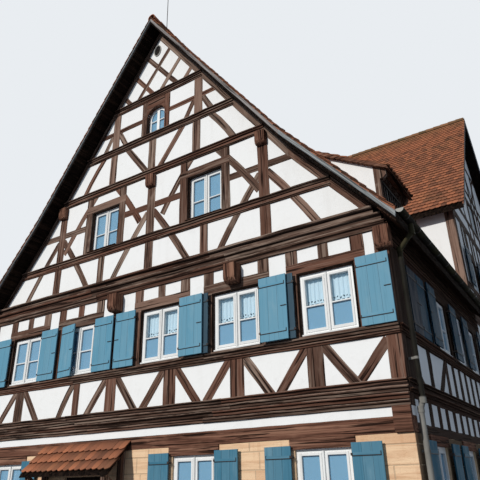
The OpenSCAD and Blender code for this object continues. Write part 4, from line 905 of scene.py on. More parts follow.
class Timbers:
    """The timbers of one wall on its plane. Each is kept as its left and its right edge, from foot
    to head, with its bow and its layer."""

    def __init__(self, holes=()):
        self.edges, self.bows, self.layers, self.holes = [], [], [], list(holes)

    def quad(self, left_foot, left_head, right_foot, right_head, bow=0.0, layer=0):
        """One timber by its four corners."""
        self.edges.append((left_foot, left_head, right_foot, right_head))
        self.bows.append(bow)
        self.layers.append(layer)

    def parts(self, low, high, side_low, side_high, axis):
        """The lengths of a post or rail that are left between the openings it meets."""
        gaps = []
        for middle, sill, w, h in self.holes:
            hole = ((middle - w / 2, middle + w / 2), (sill, sill + h))
            side = hole[1 - axis]
            if side_high > side[0] + 0.05 and side_low < side[1] - 0.05:
                gaps.append(hole[axis])
        return cut_spans(low, high, gaps, 0.03)

    def post(self, x, z0, z1, w=POST, layer=2):
        """An upright timber about x, cut at the openings."""
        a, b = x - w / 2, x + w / 2
        for lo, hi in self.parts(z0, z1, a, b, 1):
            self.quad((a, lo), (a, hi), (b, lo), (b, hi), 0.0, layer)

    def rail(self, x0, x1, z, h, layer=1):
        """A level timber from z up by h, cut at the openings."""
        for lo, hi in self.parts(x0, x1, z, z + h, 0):
            self.quad((lo, z + h), (hi, z + h), (lo, z), (hi, z), 0.0, layer)

    def bar(self, a, b, w=BRACE, bow=0.0, layer=3):
        """From a to b and a quarter of its width on at each end, bowed to the left of its way."""
        a, b = np.array(a, float), np.array(b, float)
        d = (b - a) / np.linalg.norm(b - a)
        n = np.array([-d[1], d[0]]) * w / 2
        a, b = a - d * w / 4, b + d * w / 4
        self.quad(a + n, b + n, a - n, b - n, bow, layer)

    def storey(self, x0, x1, z0, z1, centres, beam=FLOOR_BEAM, low=True):
        """Floor beam, sill rail, end posts, corner braces and the posts and rail of each window;
        where low is true its posts stand on the floor beam, with one more under its middle."""
        sill = z0 + FLOOR_BEAM + PARAPET
        lintel = sill + SILL_RAIL + WINDOW_H
        self.rail(x0, x1, z0 + FLOOR_BEAM - beam, beam)
        self.rail(x0, x1, sill, SILL_RAIL)
        self.post(x0 + POST / 2, z0, z1)
        self.post(x1 - POST / 2, z0, z1)
        self.bar((x0 + POST, sill), (x0 + POST + BRACE_RUN, z0 + FLOOR_BEAM))
        self.bar((x1 - POST, sill), (x1 - POST - BRACE_RUN, z0 + FLOOR_BEAM))
        reach = WINDOW_W / 2 + POST
        for c in centres:
            self.rail(c - reach, c + reach, lintel, HEAD)
            self.post(c - (WINDOW_W + POST) / 2, z0 if low else sill, z1)
            self.post(c + (WINDOW_W + POST) / 2, z0 if low else sill, z1)
            if low:
                self.post(c, z0, sill)
            self.post(c, lintel, z1, POST * 0.8)

    def under_roof(self, levels, h, reach, middle=0.0):
        """Rails cut off at their ends under a roof, where reach is its half width at a height."""
        for z in levels:
            low, high = float(reach(z)) - 0.06, float(reach(z + h)) - 0.06
            head, foot = (middle - high, z + h), (middle - low, z)
            self.quad(head, (middle + high, z + h), foot, (middle + low, z), 0.0, 1)

    def build(self, shape, plane, rng, settings, thickness=FRAME_T, face=0.0, rough=1.0):
        """Each timber is a six sided section carried from foot to head: its edges are straight
        lines plus bow times sin(pi t) and, outwards only, a few sines of the length run; the two
        front corners are cut off by the chamfer. Timbers are done together by number of rings.
        Rough ones stray more and end a little short of their wall's corners."""
        edges = np.array([[tuple(p) for p in e] for e in self.edges])
        bows, layers = np.array(self.bows), np.array(self.layers) * LAYER_STEP
        length = np.linalg.norm(edges[:, 1] - edges[:, 0], axis=1)
        rings = np.clip(4 * np.ceil(length / 1.4), 4, 40).astype(int)
        c, wobble = settings.chamfer, rough * settings.wobble
        for m in np.unique(rings):
            pick = rings == m
            n = pick.sum()
            e, long = edges[pick], length[pick][:, None]
            t = np.linspace(0, 1, m)[None]
            d = (e[:, 1] - e[:, 0]) + (e[:, 3] - e[:, 2])
            d /= np.linalg.norm(d, axis=1)[:, None]
            normal = np.stack([-d[:, 1], d[:, 0]], 1)[:, None]
            lift = bows[pick][:, None] * np.sin(np.pi * t)
            left, right = (
                e[:, i][:, None] + (e[:, i + 1] - e[:, i])[:, None] * t[..., None] for i in (0, 2)
            )
            left = left + normal * (lift + stray(rng, t, long, wobble))[..., None]
            right = right + normal * (lift - stray(rng, t, long, wobble))[..., None]
            if rough > 1:
                wall = edges[..., 0].min() + CORNER_GAP, edges[..., 0].max() - CORNER_GAP
                for side in (left, right):
                    side[..., 0] = np.clip(side[..., 0], *wall)
            across = right - left
            width = np.linalg.norm(across, axis=2)
            inward = across / width[..., None] * c
            front = face - layers[pick][:, None] - stray(rng, t, long, FACE_WAVES)
            back = face - thickness + 0 * front
            corners = (
                (left, back), (left, front - c), (left + inward, front),
                (right - inward, front), (right, front - c), (right, back),
            )
            local = np.stack([np.concatenate([p, z[..., None]], -1) for p, z in corners], 2)
            half = width / 2
            edge, soft = 0 * half + 1, 1 - c / half
            side = np.stack([-edge, -edge, -soft, soft, edge, edge], 2)
            run = np.broadcast_to((t * long)[..., None], side.shape)
            grain = np.stack([run, side * half[..., None], local[..., 2]], -1)
            grain = (grain + rng.uniform(0, 60, (n, 1, 1, 3))).reshape(n, -1, 3)
            points = place(plane, local.reshape(n, -1, 3))
            tone = rng.random((n, 1))
            shape.add(points, tube_template(m, 6), grain, tone, side.reshape(n, -1))


def front_timbers():
    """The upper storey of the front."""
    w = Timbers(FRONT_WINDOWS)
    w.rail(-HALF_W, HALF_W, FLOOR_Z, FLOOR_BEAM)
    w.rail(-HALF_W, HALF_W, RAIL_Z, SILL_RAIL)
    corner = HALF_W - POST
    for s in (-1, 1):
        w.post(s * (HALF_W - POST / 2), FLOOR_Z, CORNICE_Z)
        w.bar((s * corner, RAIL_Z - 0.09), (s * (corner - BRACE_RUN), SILL_Z))
    for x in STRUT_POSTS:
        w.post(x, SILL_Z, RAIL_Z, POST * 1.25)
        for s in (-1, 1):
            w.bar((x + s * 0.2, RAIL_Z - 0.03), (x + s * 0.74, SILL_Z), BRACE * 1.05)
    w.post(PLAIN_POST, SILL_Z, RAIL_Z, POST * 0.8)
    w.bar((PLAIN_POST - POST / 2, RAIL_Z), (PLAIN_POST - BRACE_RUN, SILL_Z), BRACE, -BOW)
    reach = WINDOW_W / 2 + POST
    for c in FRONT_CENTRES:
        w.rail(c - reach, c + reach, HEAD_Z, HEAD)
        for s in (-1, 1):
            w.post(c + s * (WINDOW_W + POST) / 2, WINDOW_Z, CORNICE_Z)
        w.post(c, FRIEZE_Z, CORNICE_Z, POST * 0.8)
    for x in BEAM_POSTS:
        w.post(x, WINDOW_Z, CORNICE_Z, POST * 1.15)
    return w


def gable_timbers():
    """The front gable: rafters, beams, posts and braces, and in its tip the lattice of bars that
    lie three degrees flatter than the rafters."""
    w = Timbers(GABLE_WINDOWS + [(0.0, LOFT_Z, LOFT_W, LOFT_H)])
    depth = RAFTER / np.cos(ROOF_PITCH)
    foot_x = float(under_x(GABLE_Z))
    low_x = HALF_W - (GABLE_Z - EAVE_Z + depth) / np.tan(FOOT_PITCH)
    for s in (-1, 1):
        kink, under_kink = (s * KINK_X, KINK_Z), (s * KINK_X, KINK_Z - depth)
        w.quad((0.0, PEAK_Z - 0.002), kink, (0.0, PEAK_Z - depth), under_kink)
        w.quad(kink, (s * foot_x, GABLE_Z), under_kink, (s * low_x, GABLE_Z))
    w.under_roof(GABLE_BEAMS, BEAM, under_x)
    rail_z, loft_rail_z = ROW_Z + 0.72, LOFT_Z + 0.5
    for z, h in ((rail_z, BRACE), (loft_rail_z, BRACE * 0.85)):
        end = under_x(z + BRACE) - 0.1
        w.rail(-end, end, z, h, 3)
    reach = (GABLE_WINDOW[0] + JAMB) / 2
    for c in ROW_CENTRES:
        w.rail(c - reach - JAMB / 2, c + reach + JAMB / 2, ROW_Z + GABLE_WINDOW[1], BEAM, 1)
        w.post(c, GABLE_Z, KNEE_Z, POST * 0.85)
        for s in (-1, 1):
            w.post(c + s * reach, ROW_Z, COLLAR_Z, JAMB)
    for x in (-OUTER_POST, 0.0, OUTER_POST):
        w.post(x, GABLE_Z, COLLAR_Z, layer=0 if x else 2)
        for s in (-1, 1):
            w.bar((x + s * 0.12, rail_z - 0.12), (x + s * 1.21, GABLE_Z), BRACE, s * BOW, 4)
    for x in (-1.49, -0.06, 1.43):
        w.post(x, UPPER_ROW_Z, HIGH_Z, POST * 0.95)
    for c in ROW_CENTRES:
        s = np.sign(c)
        w.bar((c - s * 0.43, COLLAR_Z), (c - s * 1.27, rail_z - 0.23), BRACE, -s * BOW, 4)
        w.bar((c + s * 0.43, COLLAR_Z), (c + s * 1.5, rail_z - 0.46), BRACE, s * BOW, 4)
    lattice_z = TIP_Z + BEAM
    slope = np.tan(ROOF_PITCH - np.radians(3))
    for s in (-1, 1):
        w.post(s * 1.48, LOFT_Z, TIP_Z)
        w.post(s * (LOFT_W / 2 + 0.09), LOFT_Z, TIP_Z, 0.18)
        w.bar((s * 0.96, HIGH_Z), (s * 0.23, UPPER_ROW_Z), BRACE, 0.0, 4)
        w.bar((s * 1.91, HIGH_Z), (s * 2.56, UPPER_ROW_Z), BRACE, s * BOW, 4)
        for x in (-1.34, -1.62):
            foot = (s * (x + 2 * (x + 1.48)), LOFT_Z)
            w.bar((s * x, loft_rail_z), foot, BRACE * 0.9, 0.0, 4)
        for k in range(3):
            x, z = -0.48 - k * 0.4, PEAK_Z - 0.73 - k * 0.57
            foot = (s * (x + (z - lattice_z) / slope), lattice_z)
            w.bar((s * x, z), foot, 0.14, 0.0, 3 + (s > 0))
    return w


def side_timbers():
    """A side wall over its stone: short posts on the plate, the storey, and the close-set posts
    under its sill rail. The front part's first bay and the band over its windows are solid."""
    w = Timbers(SIDE_WINDOWS)
    w.rail(0, TOTAL_L, MASONRY_H, SIDE_PLATE_H)
    for x in np.arange(0.6, TOTAL_L - POST, 0.6):
        w.post(x, MASONRY_H, SILL_Z - SIDE_BEAM, POST * 0.7)
    w.storey(0, FRONT_L, FLOOR_Z, CORNICE_Z, SIDE_CENTRES, SIDE_BEAM, False)
    w.storey(FRONT_L, TOTAL_L, FLOOR_Z, CORNICE_Z, WING_CENTRES, SIDE_BEAM)
    corner = SIDE_CENTRES[0] - WINDOW_W / 2 - POST
    w.post(corner / 2, SILL_Z, CORNICE_Z, corner, 1)
    w.rail(0, FRONT_L, HEAD_Z, CORNICE_Z - HEAD_Z, 2)
    w.post(1.68, SILL_Z, RAIL_Z, POST * 0.8)
    for x in np.arange(3.03, FRONT_L - POST, 0.62):
        w.post(x, SILL_Z, RAIL_Z, POST * 0.75)
    w.bar((3.03, RAIL_Z), (3.03 - 0.74, SILL_Z))
    w.bar((POST, RAIL_Z), (POST + 0.74, SILL_Z), BRACE, -2 * BOW, 4)
    return w


def wing_side_timbers():
    """The wing's second floor and gable on a side."""
    w = Timbers(WING_WINDOWS + WING_LOFT_WINDOWS)
    w.storey(FRONT_L, TOTAL_L, CORNICE_Z, WING_EAVE_Z, WING_CENTRES)
    w.rail(FRONT_L, TOTAL_L, WING_EAVE_Z - 0.3, 0.3)
    for x in np.arange(FRONT_L + 1.5, TOTAL_L - 1.0, 1.43):
        w.post(x, CORNICE_Z, WING_EAVE_Z, POST * 0.8)
    depth, rail_h = RAFTER / np.cos(WING_PITCH), 0.18
    levels = (WING_LOFT_Z - rail_h, WING_LOFT_Z + GABLE_WINDOW[1], WING_COLLAR_Z, WING_HIGH_Z)
    w.under_roof(
        levels, rail_h, lambda z: WING_HALF - (z - WING_EAVE_Z) / np.tan(WING_PITCH), WING_MID
    )
    w.post(WING_MID, WING_EAVE_Z, WING_COLLAR_Z)
    w.post(WING_MID, WING_HIGH_Z, WING_PEAK_Z - depth / 2)
    jamb = (GABLE_WINDOW[0] + POST) / 2
    for s in (-1, 1):
        top, eave = (WING_MID, WING_PEAK_Z - 0.002), (WING_MID + s * WING_HALF, WING_EAVE_Z)
        w.quad(top, eave, (WING_MID, WING_PEAK_Z - depth), (eave[0], WING_EAVE_Z - depth))
        for t in (-1, 1):
            w.post(WING_MID + s * (WING_LOFT_REACH + t * jamb), WING_EAVE_Z, WING_COLLAR_Z)
        w.post(WING_MID + s * 0.7, WING_COLLAR_Z, WING_HIGH_Z)
        w.bar((WING_MID + s * 3.4, WING_EAVE_Z + 1.5), (WING_MID + s * 2.6, WING_EAVE_Z))
        head, foot = (WING_MID + s * 1.2, WING_HIGH_Z), (WING_MID, WING_COLLAR_Z + rail_h)
        w.bar(head, foot, BRACE, 0.0, 3 + (s > 0))
    return w


def wing_storeys(centres, posts, holes, top_rail, let_in=0.0):
    """Two storeys of the wing between its side walls, with tall posts through both. Let into the
    side walls, it has a deeper post at each end, whose face lies forward of the side's edge."""
    w = Timbers(holes)
    inner = HALF_W - FRAME_T + let_in
    w.rail(-inner, inner, MASONRY_H, PLATE_H)
    for z0, z1 in ((FLOOR_Z, CORNICE_Z), (CORNICE_Z, WING_EAVE_Z)):
        w.storey(-inner, inner, z0, z1, centres)
    w.rail(-inner, inner, WING_EAVE_Z - top_rail, top_rail)
    for x in posts:
        w.post(x, FLOOR_Z, WING_EAVE_Z, layer=0)
    if let_in:
        for s in (-1, 1):
            w.post(s * (inner - POST / 2), CORNICE_Z, WING_EAVE_Z, layer=-14)
    return w


def arch_head(shape, rng):
    """The timber over the loft window: rays from the window's arch, cos and sin of the angle times
    its radius, out to the square of the panel round it."""
    r, m = LOFT_W / 2, 21
    spring = LOFT_Z + LOFT_H - r
    angle = np.linspace(0, np.pi, m)
    ray = np.stack([np.cos(angle), np.sin(angle)], 1)
    sideways = (r + 0.001) / np.maximum(np.abs(ray[:, 0]), 1e-9)
    upwards = (TIP_Z - spring) / np.maximum(ray[:, 1], 1e-9)
    reach = np.maximum(np.minimum(sideways, upwards), r)
    inner, outer = ray * r + [0, spring], ray * reach[:, None] + [0, spring]
    depths = [-FRAME_T, -0.013, -0.001, -0.001, -FRAME_T]
    lines = [inner, inner, np.minimum(inner + ray * 0.012, outer), outer, outer]
    local = [np.concatenate([p, np.full((m, 1), z)], 1) for p, z in zip(lines, depths)]
    local = np.stack(local, 1).reshape(1, -1, 3)
    grain, tone = local + rng.uniform(0, 40, 3), rng.random((1, 1))
    shape.add(place("front", local), tube_template(m, 5), grain, tone)


class HouseTimbers(bpy.types.Operator):
    """Makes every timber of the framed walls as a hewn bar of its own"""

    bl_idname = "house.timbers"
    bl_label = "Timbers"

    def execute(self, context):
        settings = context.scene.house_timber
        back_posts = [-HALF_W / 2, 0, HALF_W / 2]
        back = wing_storeys(BACK_CENTRES, back_posts, BACK_WINDOWS + WING_BACK_WINDOWS, 0.3)
        cross_posts = [HALF_W * u for u in (-0.77, -0.51, -0.255, 0, 0.255, 0.51, 0.77)]
        walls = [
            ("front", "front", front_timbers()),
            ("gable", "front", gable_timbers()),
            ("back", "back", back),
            ("cross", "cross", wing_storeys([], cross_posts, [], 0.1, 0.205)),
        ]
        for plane in ("right", "left"):
            walls += [
                (plane, plane, side_timbers()),
                ("wing_" + plane, plane, wing_side_timbers()),
            ]
        for number, (name, plane, timbers) in enumerate(walls):
            rng = np.random.default_rng(100 + number)
            shape = Shape()
            rough = SIDE_ROUGH if plane in ("right", "left") else 1.0
            timbers.build(shape, plane, rng, settings, rough=rough)
            if name == "gable":
                arch_head(shape, rng)
            # The right wall's timbers take the dark oak: painted shade.
            finish = "dark_timber" if plane == "right" else "timber"
            shape.piece("timbers_" + name, finish, "timber", ("frame_" + name,))
        plate, shape = Timbers(), Shape()
        plate.rail(-HALF_W, HALF_W, MASONRY_H, PLATE_H, 0)
        plate.build(shape, "front", np.random.default_rng(140), settings)
        shape.piece("timbers_front_plate", "red_timber", "timber")
        give("timber_level", "wall_plates")
        give("red_upright", "beam_heads")
        give("lintel", "ground_lintels")
        return {"FINISHED"}


# ---- Mouldings

# One band's outline from its foot up: shares of its reach and height, its painted shade and dirt in
# the hollows, and its wear
BAND = np.array([
    (-0.1, 0.0, 1.0, 0.0), (0.38, 0.0, 0.8, 0.0), (0.45, 0.05, 0.2, 0.2), (0.45, 0.4, 0.1, 0.0),
    (0.42, 0.48, 1.0, 0.0), (0.46, 0.55, 1.0, 0.0), (0.62, 0.6, 0.7, 0.0), (0.85, 0.64, 0.2, 0.0),
    (0.98, 0.7, 0.0, 0.4), (1.0, 0.76, 0.0, 0.3), (1.0, 0.93, 0.0, 1.0), (0.94, 1.0, 0.0, 1.0),
    (0.3, 1.0, 0.5, 0.5), (-0.1, 1.0, 1.0, 0.0),
])
# The bands of each kind of beam: foot and height as shares of the beam's, and reach
FLOOR_TIERS = [(0, 0.2, 0.055), (0.25, 0.22, 0.08), (0.52, 0.2, 0.06), (0.8, 0.2, 0.075)]
SIDE_FLOOR_TIERS = [FLOOR_TIERS[1], FLOOR_TIERS[3]]
SILL_TIERS = [(0, 0.3, 0.04), (0.4, 0.4, 0.065)]
BEAM_TIERS = [(0, 0.24, 0.035), (0.6, 0.4, 0.06)]
EAVE_TIERS = [(0, 0.3, 0.045), (0.5, 0.5, 0.07)]
PLATE_TIERS = [(0.08, 0.34, 0.05), (0.55, 0.36, 0.085)]
CORNICE_REACH, CORNICE_STEP = 0.05, 0.035
# A band's length, and the distance between its sections
BAND_LENGTH, BAND_STEP = 4, 0.25


def tiers(x0, x1, z, h, shares):
    """Bands of (start, end, foot, height, reach) in one beam's height."""
    return [(x0, x1, z + low * h, high * h, out) for low, high, out in shares]


def moulded(shape, plane, bands, rng):
    """Carries the band's outline along each stretch, with sines of a few millimetres up and out,
    in lengths of about four metres that meet with a fine gap."""
    for x0, x1, z, h, out in bands:
        count = max(1, int(round((x1 - x0) / BAND_LENGTH)))
        cuts = np.linspace(x0, x1, count + 1)
        cuts[1:-1] += rng.uniform(-0.6, 0.6, count - 1)
        lengths = np.linalg.norm(np.diff(BAND[:, :2] * [out, h], axis=0, prepend=0), axis=1)
        for a, b in zip(cuts[:-1], cuts[1:]):
            m = max(4, int((b - a) / BAND_STEP))
            x = np.linspace(a + 0.001, b - 0.001, m)[:, None]
            phase = rng.uniform(0, 6.28, 4)
            sway = 0.004 * np.sin(1.3 * x + phase[0]) + 0.003 * np.sin(5.1 * x + phase[1])
            shrink = 0.003 * np.sin(2.2 * x + phase[2]) + 0.003 * np.sin(7.0 * x + phase[3])
            forward = (out - 0.006 - shrink) * BAND[:, 0]
            local = np.stack(np.broadcast_arrays(x, z + h * BAND[:, 1] + sway, forward), -1)
            grain = np.stack(np.broadcast_arrays(x, np.cumsum(lengths), 0.0), -1)
            grain = (grain + rng.uniform(0, 60, 3)).reshape(1, -1, 3)
            # The third column goes to the fourth field as painted shade and dirt in the hollows, and
            # the fourth column to the worn arrises.
            soil, wear = (np.tile(BAND[:, i], m)[None] for i in (2, 3))
            points = place(plane, local.reshape(1, -1, 3))
            tone = rng.random((1, 1))
            shape.add(points, tube_template(m, len(BAND)), grain, tone, wear, soil)


class HouseMouldings(bpy.types.Operator):
    """Makes the cornice and the mouldings of the beams"""

    bl_idname = "house.mouldings"
    bl_label = "Mouldings"

    def execute(self, context):
        rng = np.random.default_rng(150)
        shape, boards = Shape(), Timbers()
        foot_x = float(under_x(GABLE_Z))
        boards.rail(-foot_x, foot_x, CORNICE_Z, GABLE_Z - CORNICE_Z)
        boards.build(shape, "front", rng, context.scene.house_timber)
        bands = tiers(-HALF_W, HALF_W, FLOOR_Z, FLOOR_BEAM, FLOOR_TIERS)
        bands += tiers(-HALF_W, HALF_W, RAIL_Z, SILL_RAIL, SILL_TIERS)
        tier = (GABLE_Z - CORNICE_Z) / 3
        for k in range(3):
            foot = CORNICE_Z + k * tier
            reach = min(HALF_W, float(under_x(foot + tier)) - 0.005)
            bands.append((-reach, reach, foot, tier, CORNICE_REACH + CORNICE_STEP * k))
        for z in GABLE_BEAMS:
            reach = float(under_x(z + BEAM)) - 0.005
            bands += tiers(-reach, reach, z, BEAM, BEAM_TIERS)
        moulded(shape, "front", bands, rng)
        shape.piece("moulded_beams_front", "moulding", "timber", ("mouldings_front",))
        bands = tiers(0, TOTAL_L, SILL_Z - SIDE_BEAM, SIDE_BEAM, SIDE_FLOOR_TIERS)
        bands += tiers(0, TOTAL_L, RAIL_Z, SILL_RAIL, SILL_TIERS)
        bands += tiers(0, FRONT_L - 0.005, FRIEZE_Z, CORNICE_Z - FRIEZE_Z, EAVE_TIERS)
        bands += tiers(0, FRONT_L, CORNICE_Z, EAVE_Z - CORNICE_Z, PLATE_TIERS)
        # The right wall's mouldings take the darker copy: painted shade.
        for plane, finish in (("right", "dark_moulding"), ("left", "moulding")):
            shape = Shape()
            moulded(shape, plane, bands, rng)
            nodes = ("mouldings_sides",) if plane == "right" else ()
            shape.piece("moulded_beams_" + plane, finish, "timber", nodes)
        return {"FINISHED"}


# ---- Panels and floors


class HousePlaster(bpy.types.Operator):
    """Gives the panels and floors their finishes, and makes the vent in the gable's tip"""

    bl_idname = "house.plaster"
    bl_label = "Plaster and floors"

    def execute(self, context):
        give("plaster", "infill_front", "infill_sides", "infill_wing", "dormer_cheeks")
        give("floor_boards", "upper_floor", "attic_floor", "loft_floor")
        give("flags", "ground_slab")
        self.vent(np.random.default_rng(160))
        return {"FINISHED"}

    def vent(self, rng):
        """The vent at the gable's tip: a square section carried round an ellipse, and in it a plate
        and upright bars whose half height is the ellipse's, sqrt(1 - (x / a)^2) times b."""
        x0, z0, a, b, m = VENT_X, PEAK_Z - VENT_DROP, VENT_W / 2, VENT_H / 2, 28
        angle = np.linspace(0, 2 * np.pi, m, endpoint=False)
        way = np.stack([np.cos(angle), np.sin(angle)], 1)

        def oval(grow, out):
            """The ellipse, larger all round and that far out of the wall."""
            return np.concatenate([way * [a + grow, b + grow] + [x0, z0], np.full((m, 1), out)], 1)

        section = [(0.026, -0.03), (0.022, 0.012), (0.002, 0.012), (-0.004, -0.05)]
        section = np.stack([oval(*corner) for corner in section], 1)
        ring, back = Shape(), Shape()
        turn = tube_template(m + 1, 4)[:-2]
        ring.add(place("front", section.reshape(1, -1, 3)), np.array(turn) % (4 * m))
        plate = np.stack([oval(-0.002, -0.07), oval(-0.002, -0.05)])
        back.add(place("front", plate.reshape(1, -1, 3)), tube_template(2, m))
        bars = np.linspace(-0.8, 0.8, 7) * a
        high = b * np.sqrt(1 - (bars / a) ** 2)
        low_ends = [(x0 + x - 0.005, z0 - h, -0.052) for x, h in zip(bars, high)]
        high_ends = [(x0 + x + 0.005, z0 + h, -0.03) for x, h in zip(bars, high)]
        boxes(back, "front", low_ends, high_ends, rng, 0.002)
        ring.piece("vent_ring", "ring", "zinc", smooth=True)
        back.piece("vent_grille", "iron", "iron")


# ---- Stone walls

COURSES = [0.0, 0.3, 0.59, 0.88, 1.18, 1.49, 1.8, 2.12, 2.43, 2.6]
JAMB_STONE, STONE_DEPTH = 0.15, 0.12
# A course's blocks have a mean length between these, and lintels reach past their window
BLOCK_LENGTHS, LINTEL_END = (0.58, 0.8), 0.09
# Heights of a door's jamb stones and of the stone over it
DOOR_JAMBS, DOOR_LINTEL = (0, 0.7, 1.4, 2.12), (2.1, 2.43)
# Points of a stone's face along and up, and how far it heaves
FACE_GRID, HEAVE = (7, 5), 0.004


def course_stones(x0, x1, holes, doors, rng):
    """Blocks in courses, of random lengths that fill each stretch between the openings, and the
    upright jamb stones and the sill of each window."""
    stones = []
    for z0, z1 in zip(COURSES[:-1], COURSES[1:]):
        gaps = []
        for middle, sill, w, h in holes:
            if z1 > sill + 0.02:
                reach = w / 2 + (JAMB_STONE if z0 < sill + h - 0.02 else LINTEL_END)
                gaps.append((middle - reach, middle + reach))
        for middle, w, h in doors:
            reach = w / 2 + JAMB_STONE
            if z0 < h + 0.1:
                gaps.append((middle - reach, middle + reach))
        for lo, hi in cut_spans(x0, x1, gaps):
            count = max(1, int(round((hi - lo) / rng.uniform(*BLOCK_LENGTHS))))
            cuts = np.cumsum(rng.uniform(0.7, 1.3, count))
            cuts = np.concatenate([[0], cuts / cuts[-1]]) * (hi - lo) + lo
            stones += [(a, b, z0, z1) for a, b in zip(cuts[:-1], cuts[1:])]
    for middle, sill, w, h in holes:
        for s in (-1, 1):
            heights = sill + h * np.array([0, rng.uniform(0.4, 0.6), 1])
            stones += jamb_stones(middle, s, w, heights)
    for middle, w, h in doors:
        for s in (-1, 1):
            stones += jamb_stones(middle, s, w, DOOR_JAMBS)
        stones.append((middle - w / 2, middle + w / 2, *DOOR_LINTEL))
    return np.array(stones)


def jamb_stones(middle, s, w, heights):
    """The stones of one side of an opening, one over the other."""
    a, b = sorted((middle + s * w / 2, middle + s * (w / 2 + JAMB_STONE)))
    return [(a, b, z0, z1) for z0, z1 in zip(heights[:-1], heights[1:])]


def stone_blocks(shape, plane, stones, rng, settings):
    """Each stone's face is a grid whose border lies back by the arris and whose inside heaves by a
    few millimetres of noise; the border is drawn straight back for the sides."""
    n, (a, b) = len(stones), FACE_GRID
    low = stones[:, [0, 2]] + settings.joint / 2
    high = stones[:, [1, 3]] - settings.joint / 2
    inset = np.minimum(settings.stone_chamfer, 0.2 * (high - low).min(1))[:, None]
    grids = []
    for axis, count in ((0, a), (1, b)):
        share = np.concatenate([[0], np.linspace(0, 1, count - 2), [1]])
        start, end = low[:, axis : axis + 1], high[:, axis : axis + 1]
        line = start + inset + (end - start - 2 * inset) * share
        line[:, [0, -1]] = np.concatenate([start, end], 1)
        grids.append(line)
    along = np.broadcast_to(grids[0][:, None], (n, b, a))
    up = np.broadcast_to(grids[1][..., None], (n, b, a))
    depth = -rng.uniform(0, HEAVE, (n, b, a)) - rng.uniform(0, HEAVE, (n, 1, 1))
    border = np.zeros((b, a), bool)
    border[[0, -1]] = border[:, [0, -1]] = True
    depth = np.where(border, depth - inset[..., None], depth)
    face = np.stack([along, up, depth], -1).reshape(n, -1, 3)
    grid = np.arange(a * b).reshape(b, a)
    rim = np.concatenate([grid[0, :-1], grid[:-1, -1], grid[-1, :0:-1], grid[:0:-1, 0]])
    back = face[:, rim].copy()
    back[..., 2] = -STONE_DEPTH
    quads = np.stack([grid[:-1, :-1], grid[:-1, 1:], grid[1:, 1:], grid[1:, :-1]], -1)
    k, base = len(rim), a * b
    here, after = np.arange(k), (np.arange(k) + 1) % k
    sides = np.stack([rim[after], rim, base + here, base + after], -1)
    template = quads.reshape(-1, 4).tolist() + sides.tolist() + [(base + here)[::-1].tolist()]
    points = place(plane, np.concatenate([face, back], 1))
    shape.add(points, template, None, rng.random((n, 1)))


def merged_copy(node, name):
    """A copy of a CAD node's mesh with its loose corners merged, and its points as an array."""
    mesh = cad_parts[node].data.copy()
    mesh.name = name
    work = bmesh.new()
    work.from_mesh(mesh)
    bmesh.ops.remove_doubles(work, verts=work.verts, dist=0.0002)
    work.to_mesh(mesh)
    work.free()
    points = np.empty(len(mesh.vertices) * 3, np.float32)
    mesh.vertices.foreach_get("co", points)
    return link_object(name, mesh), points.reshape(-1, 3).astype(float)


def set_points(thing, points):
    """Puts changed points back into a copy."""
    thing.data.vertices.foreach_set("co", points.astype(np.float32).ravel())
    thing.data.update()


class HouseStone(bpy.types.Operator):
    """Makes the dressed stones of the ground floor over a bed of mortar"""

    bl_idname = "house.stone"
    bl_label = "Stone walls"

    def execute(self, context):
        settings = context.scene.house_wall
        door = [(DOOR_X, DOOR_W, DOOR_H)]
        across, along = (-HALF_W, HALF_W), (STONE_DEPTH, TOTAL_L - STONE_DEPTH)
        walls = [
            ("front", across, GROUND_FRONT, door, 1, FRONT_Y),
            ("right", along, GROUND_SIDE, [], 0, HALF_W),
            ("left", along, GROUND_SIDE, [], 0, -HALF_W),
            ("back", across, GROUND_BACK, [], 1, -FRONT_Y),
        ]
        for number, (plane, ends, holes, doors, axis, outer) in enumerate(walls):
            rng = np.random.default_rng(200 + number)
            shape = Shape()
            stones = course_stones(*ends, holes, doors, rng)
            stone_blocks(shape, plane, stones, rng, settings)
            # The right wall's stones take the darker copy: painted shade.
            finish = "grey_stone" if plane == "right" else "stone"
            shape.piece("stones_" + plane, finish, "sandstone")
            self.bed(plane, axis, outer, settings.setback)
        give("mortar", "masonry_cross")
        return {"FINISHED"}

    def bed(self, plane, axis, outer, setback):
        """The wall itself as the mortar: its face, and at front and back its ends, lie back."""
        node = "masonry_" + plane
        thing, points = merged_copy(node, "mortar_" + plane)
        faces = [(axis, outer)] + [(0, HALF_W), (0, -HALF_W)] * (axis == 1)
        for k, level in faces:
            on_face = np.abs(points[:, k] - level) < 0.001
            points[on_face, k] -= np.sign(level) * setback
        set_points(thing, points)
        dress(thing, "mortar", (node,))


# ---- Roofs

# A tile's rise over the boarding at its lower end, what it loses to its upper end, its arc's depth
TILE_RISE, TILE_FALL, TILE_ARC = 0.047, 0.039, 0.045
# The lowest course hangs over the eave by this, or where it would leave the roof, lies back
OVERHANG, LIE_BACK = 0.045, -0.008
# Length of a ridge tile, its clearance from the highest course, half the gap between tiles
RIDGE_TILE, RIDGE_CLEAR, TILE_GAP = 0.34, 0.06, 0.0025
# Length of the pieces in the bed of the tiles over a verge
EDGE_PITCH = 0.155
MID_Y = FRONT_Y + WING_MID


def sloped(axis, side=1, middle=0.0):
    """A function that puts (along the eave, out from the middle, height) into the house, for a
    slope that falls along X or Y."""

    def placed(u, out, up):
        """The points, with their axes in the house's order."""
        out = middle + side * out
        order = (out, u, up) if axis == "x" else (u, out, up)
        return np.stack(np.broadcast_arrays(*order), -1)

    return placed


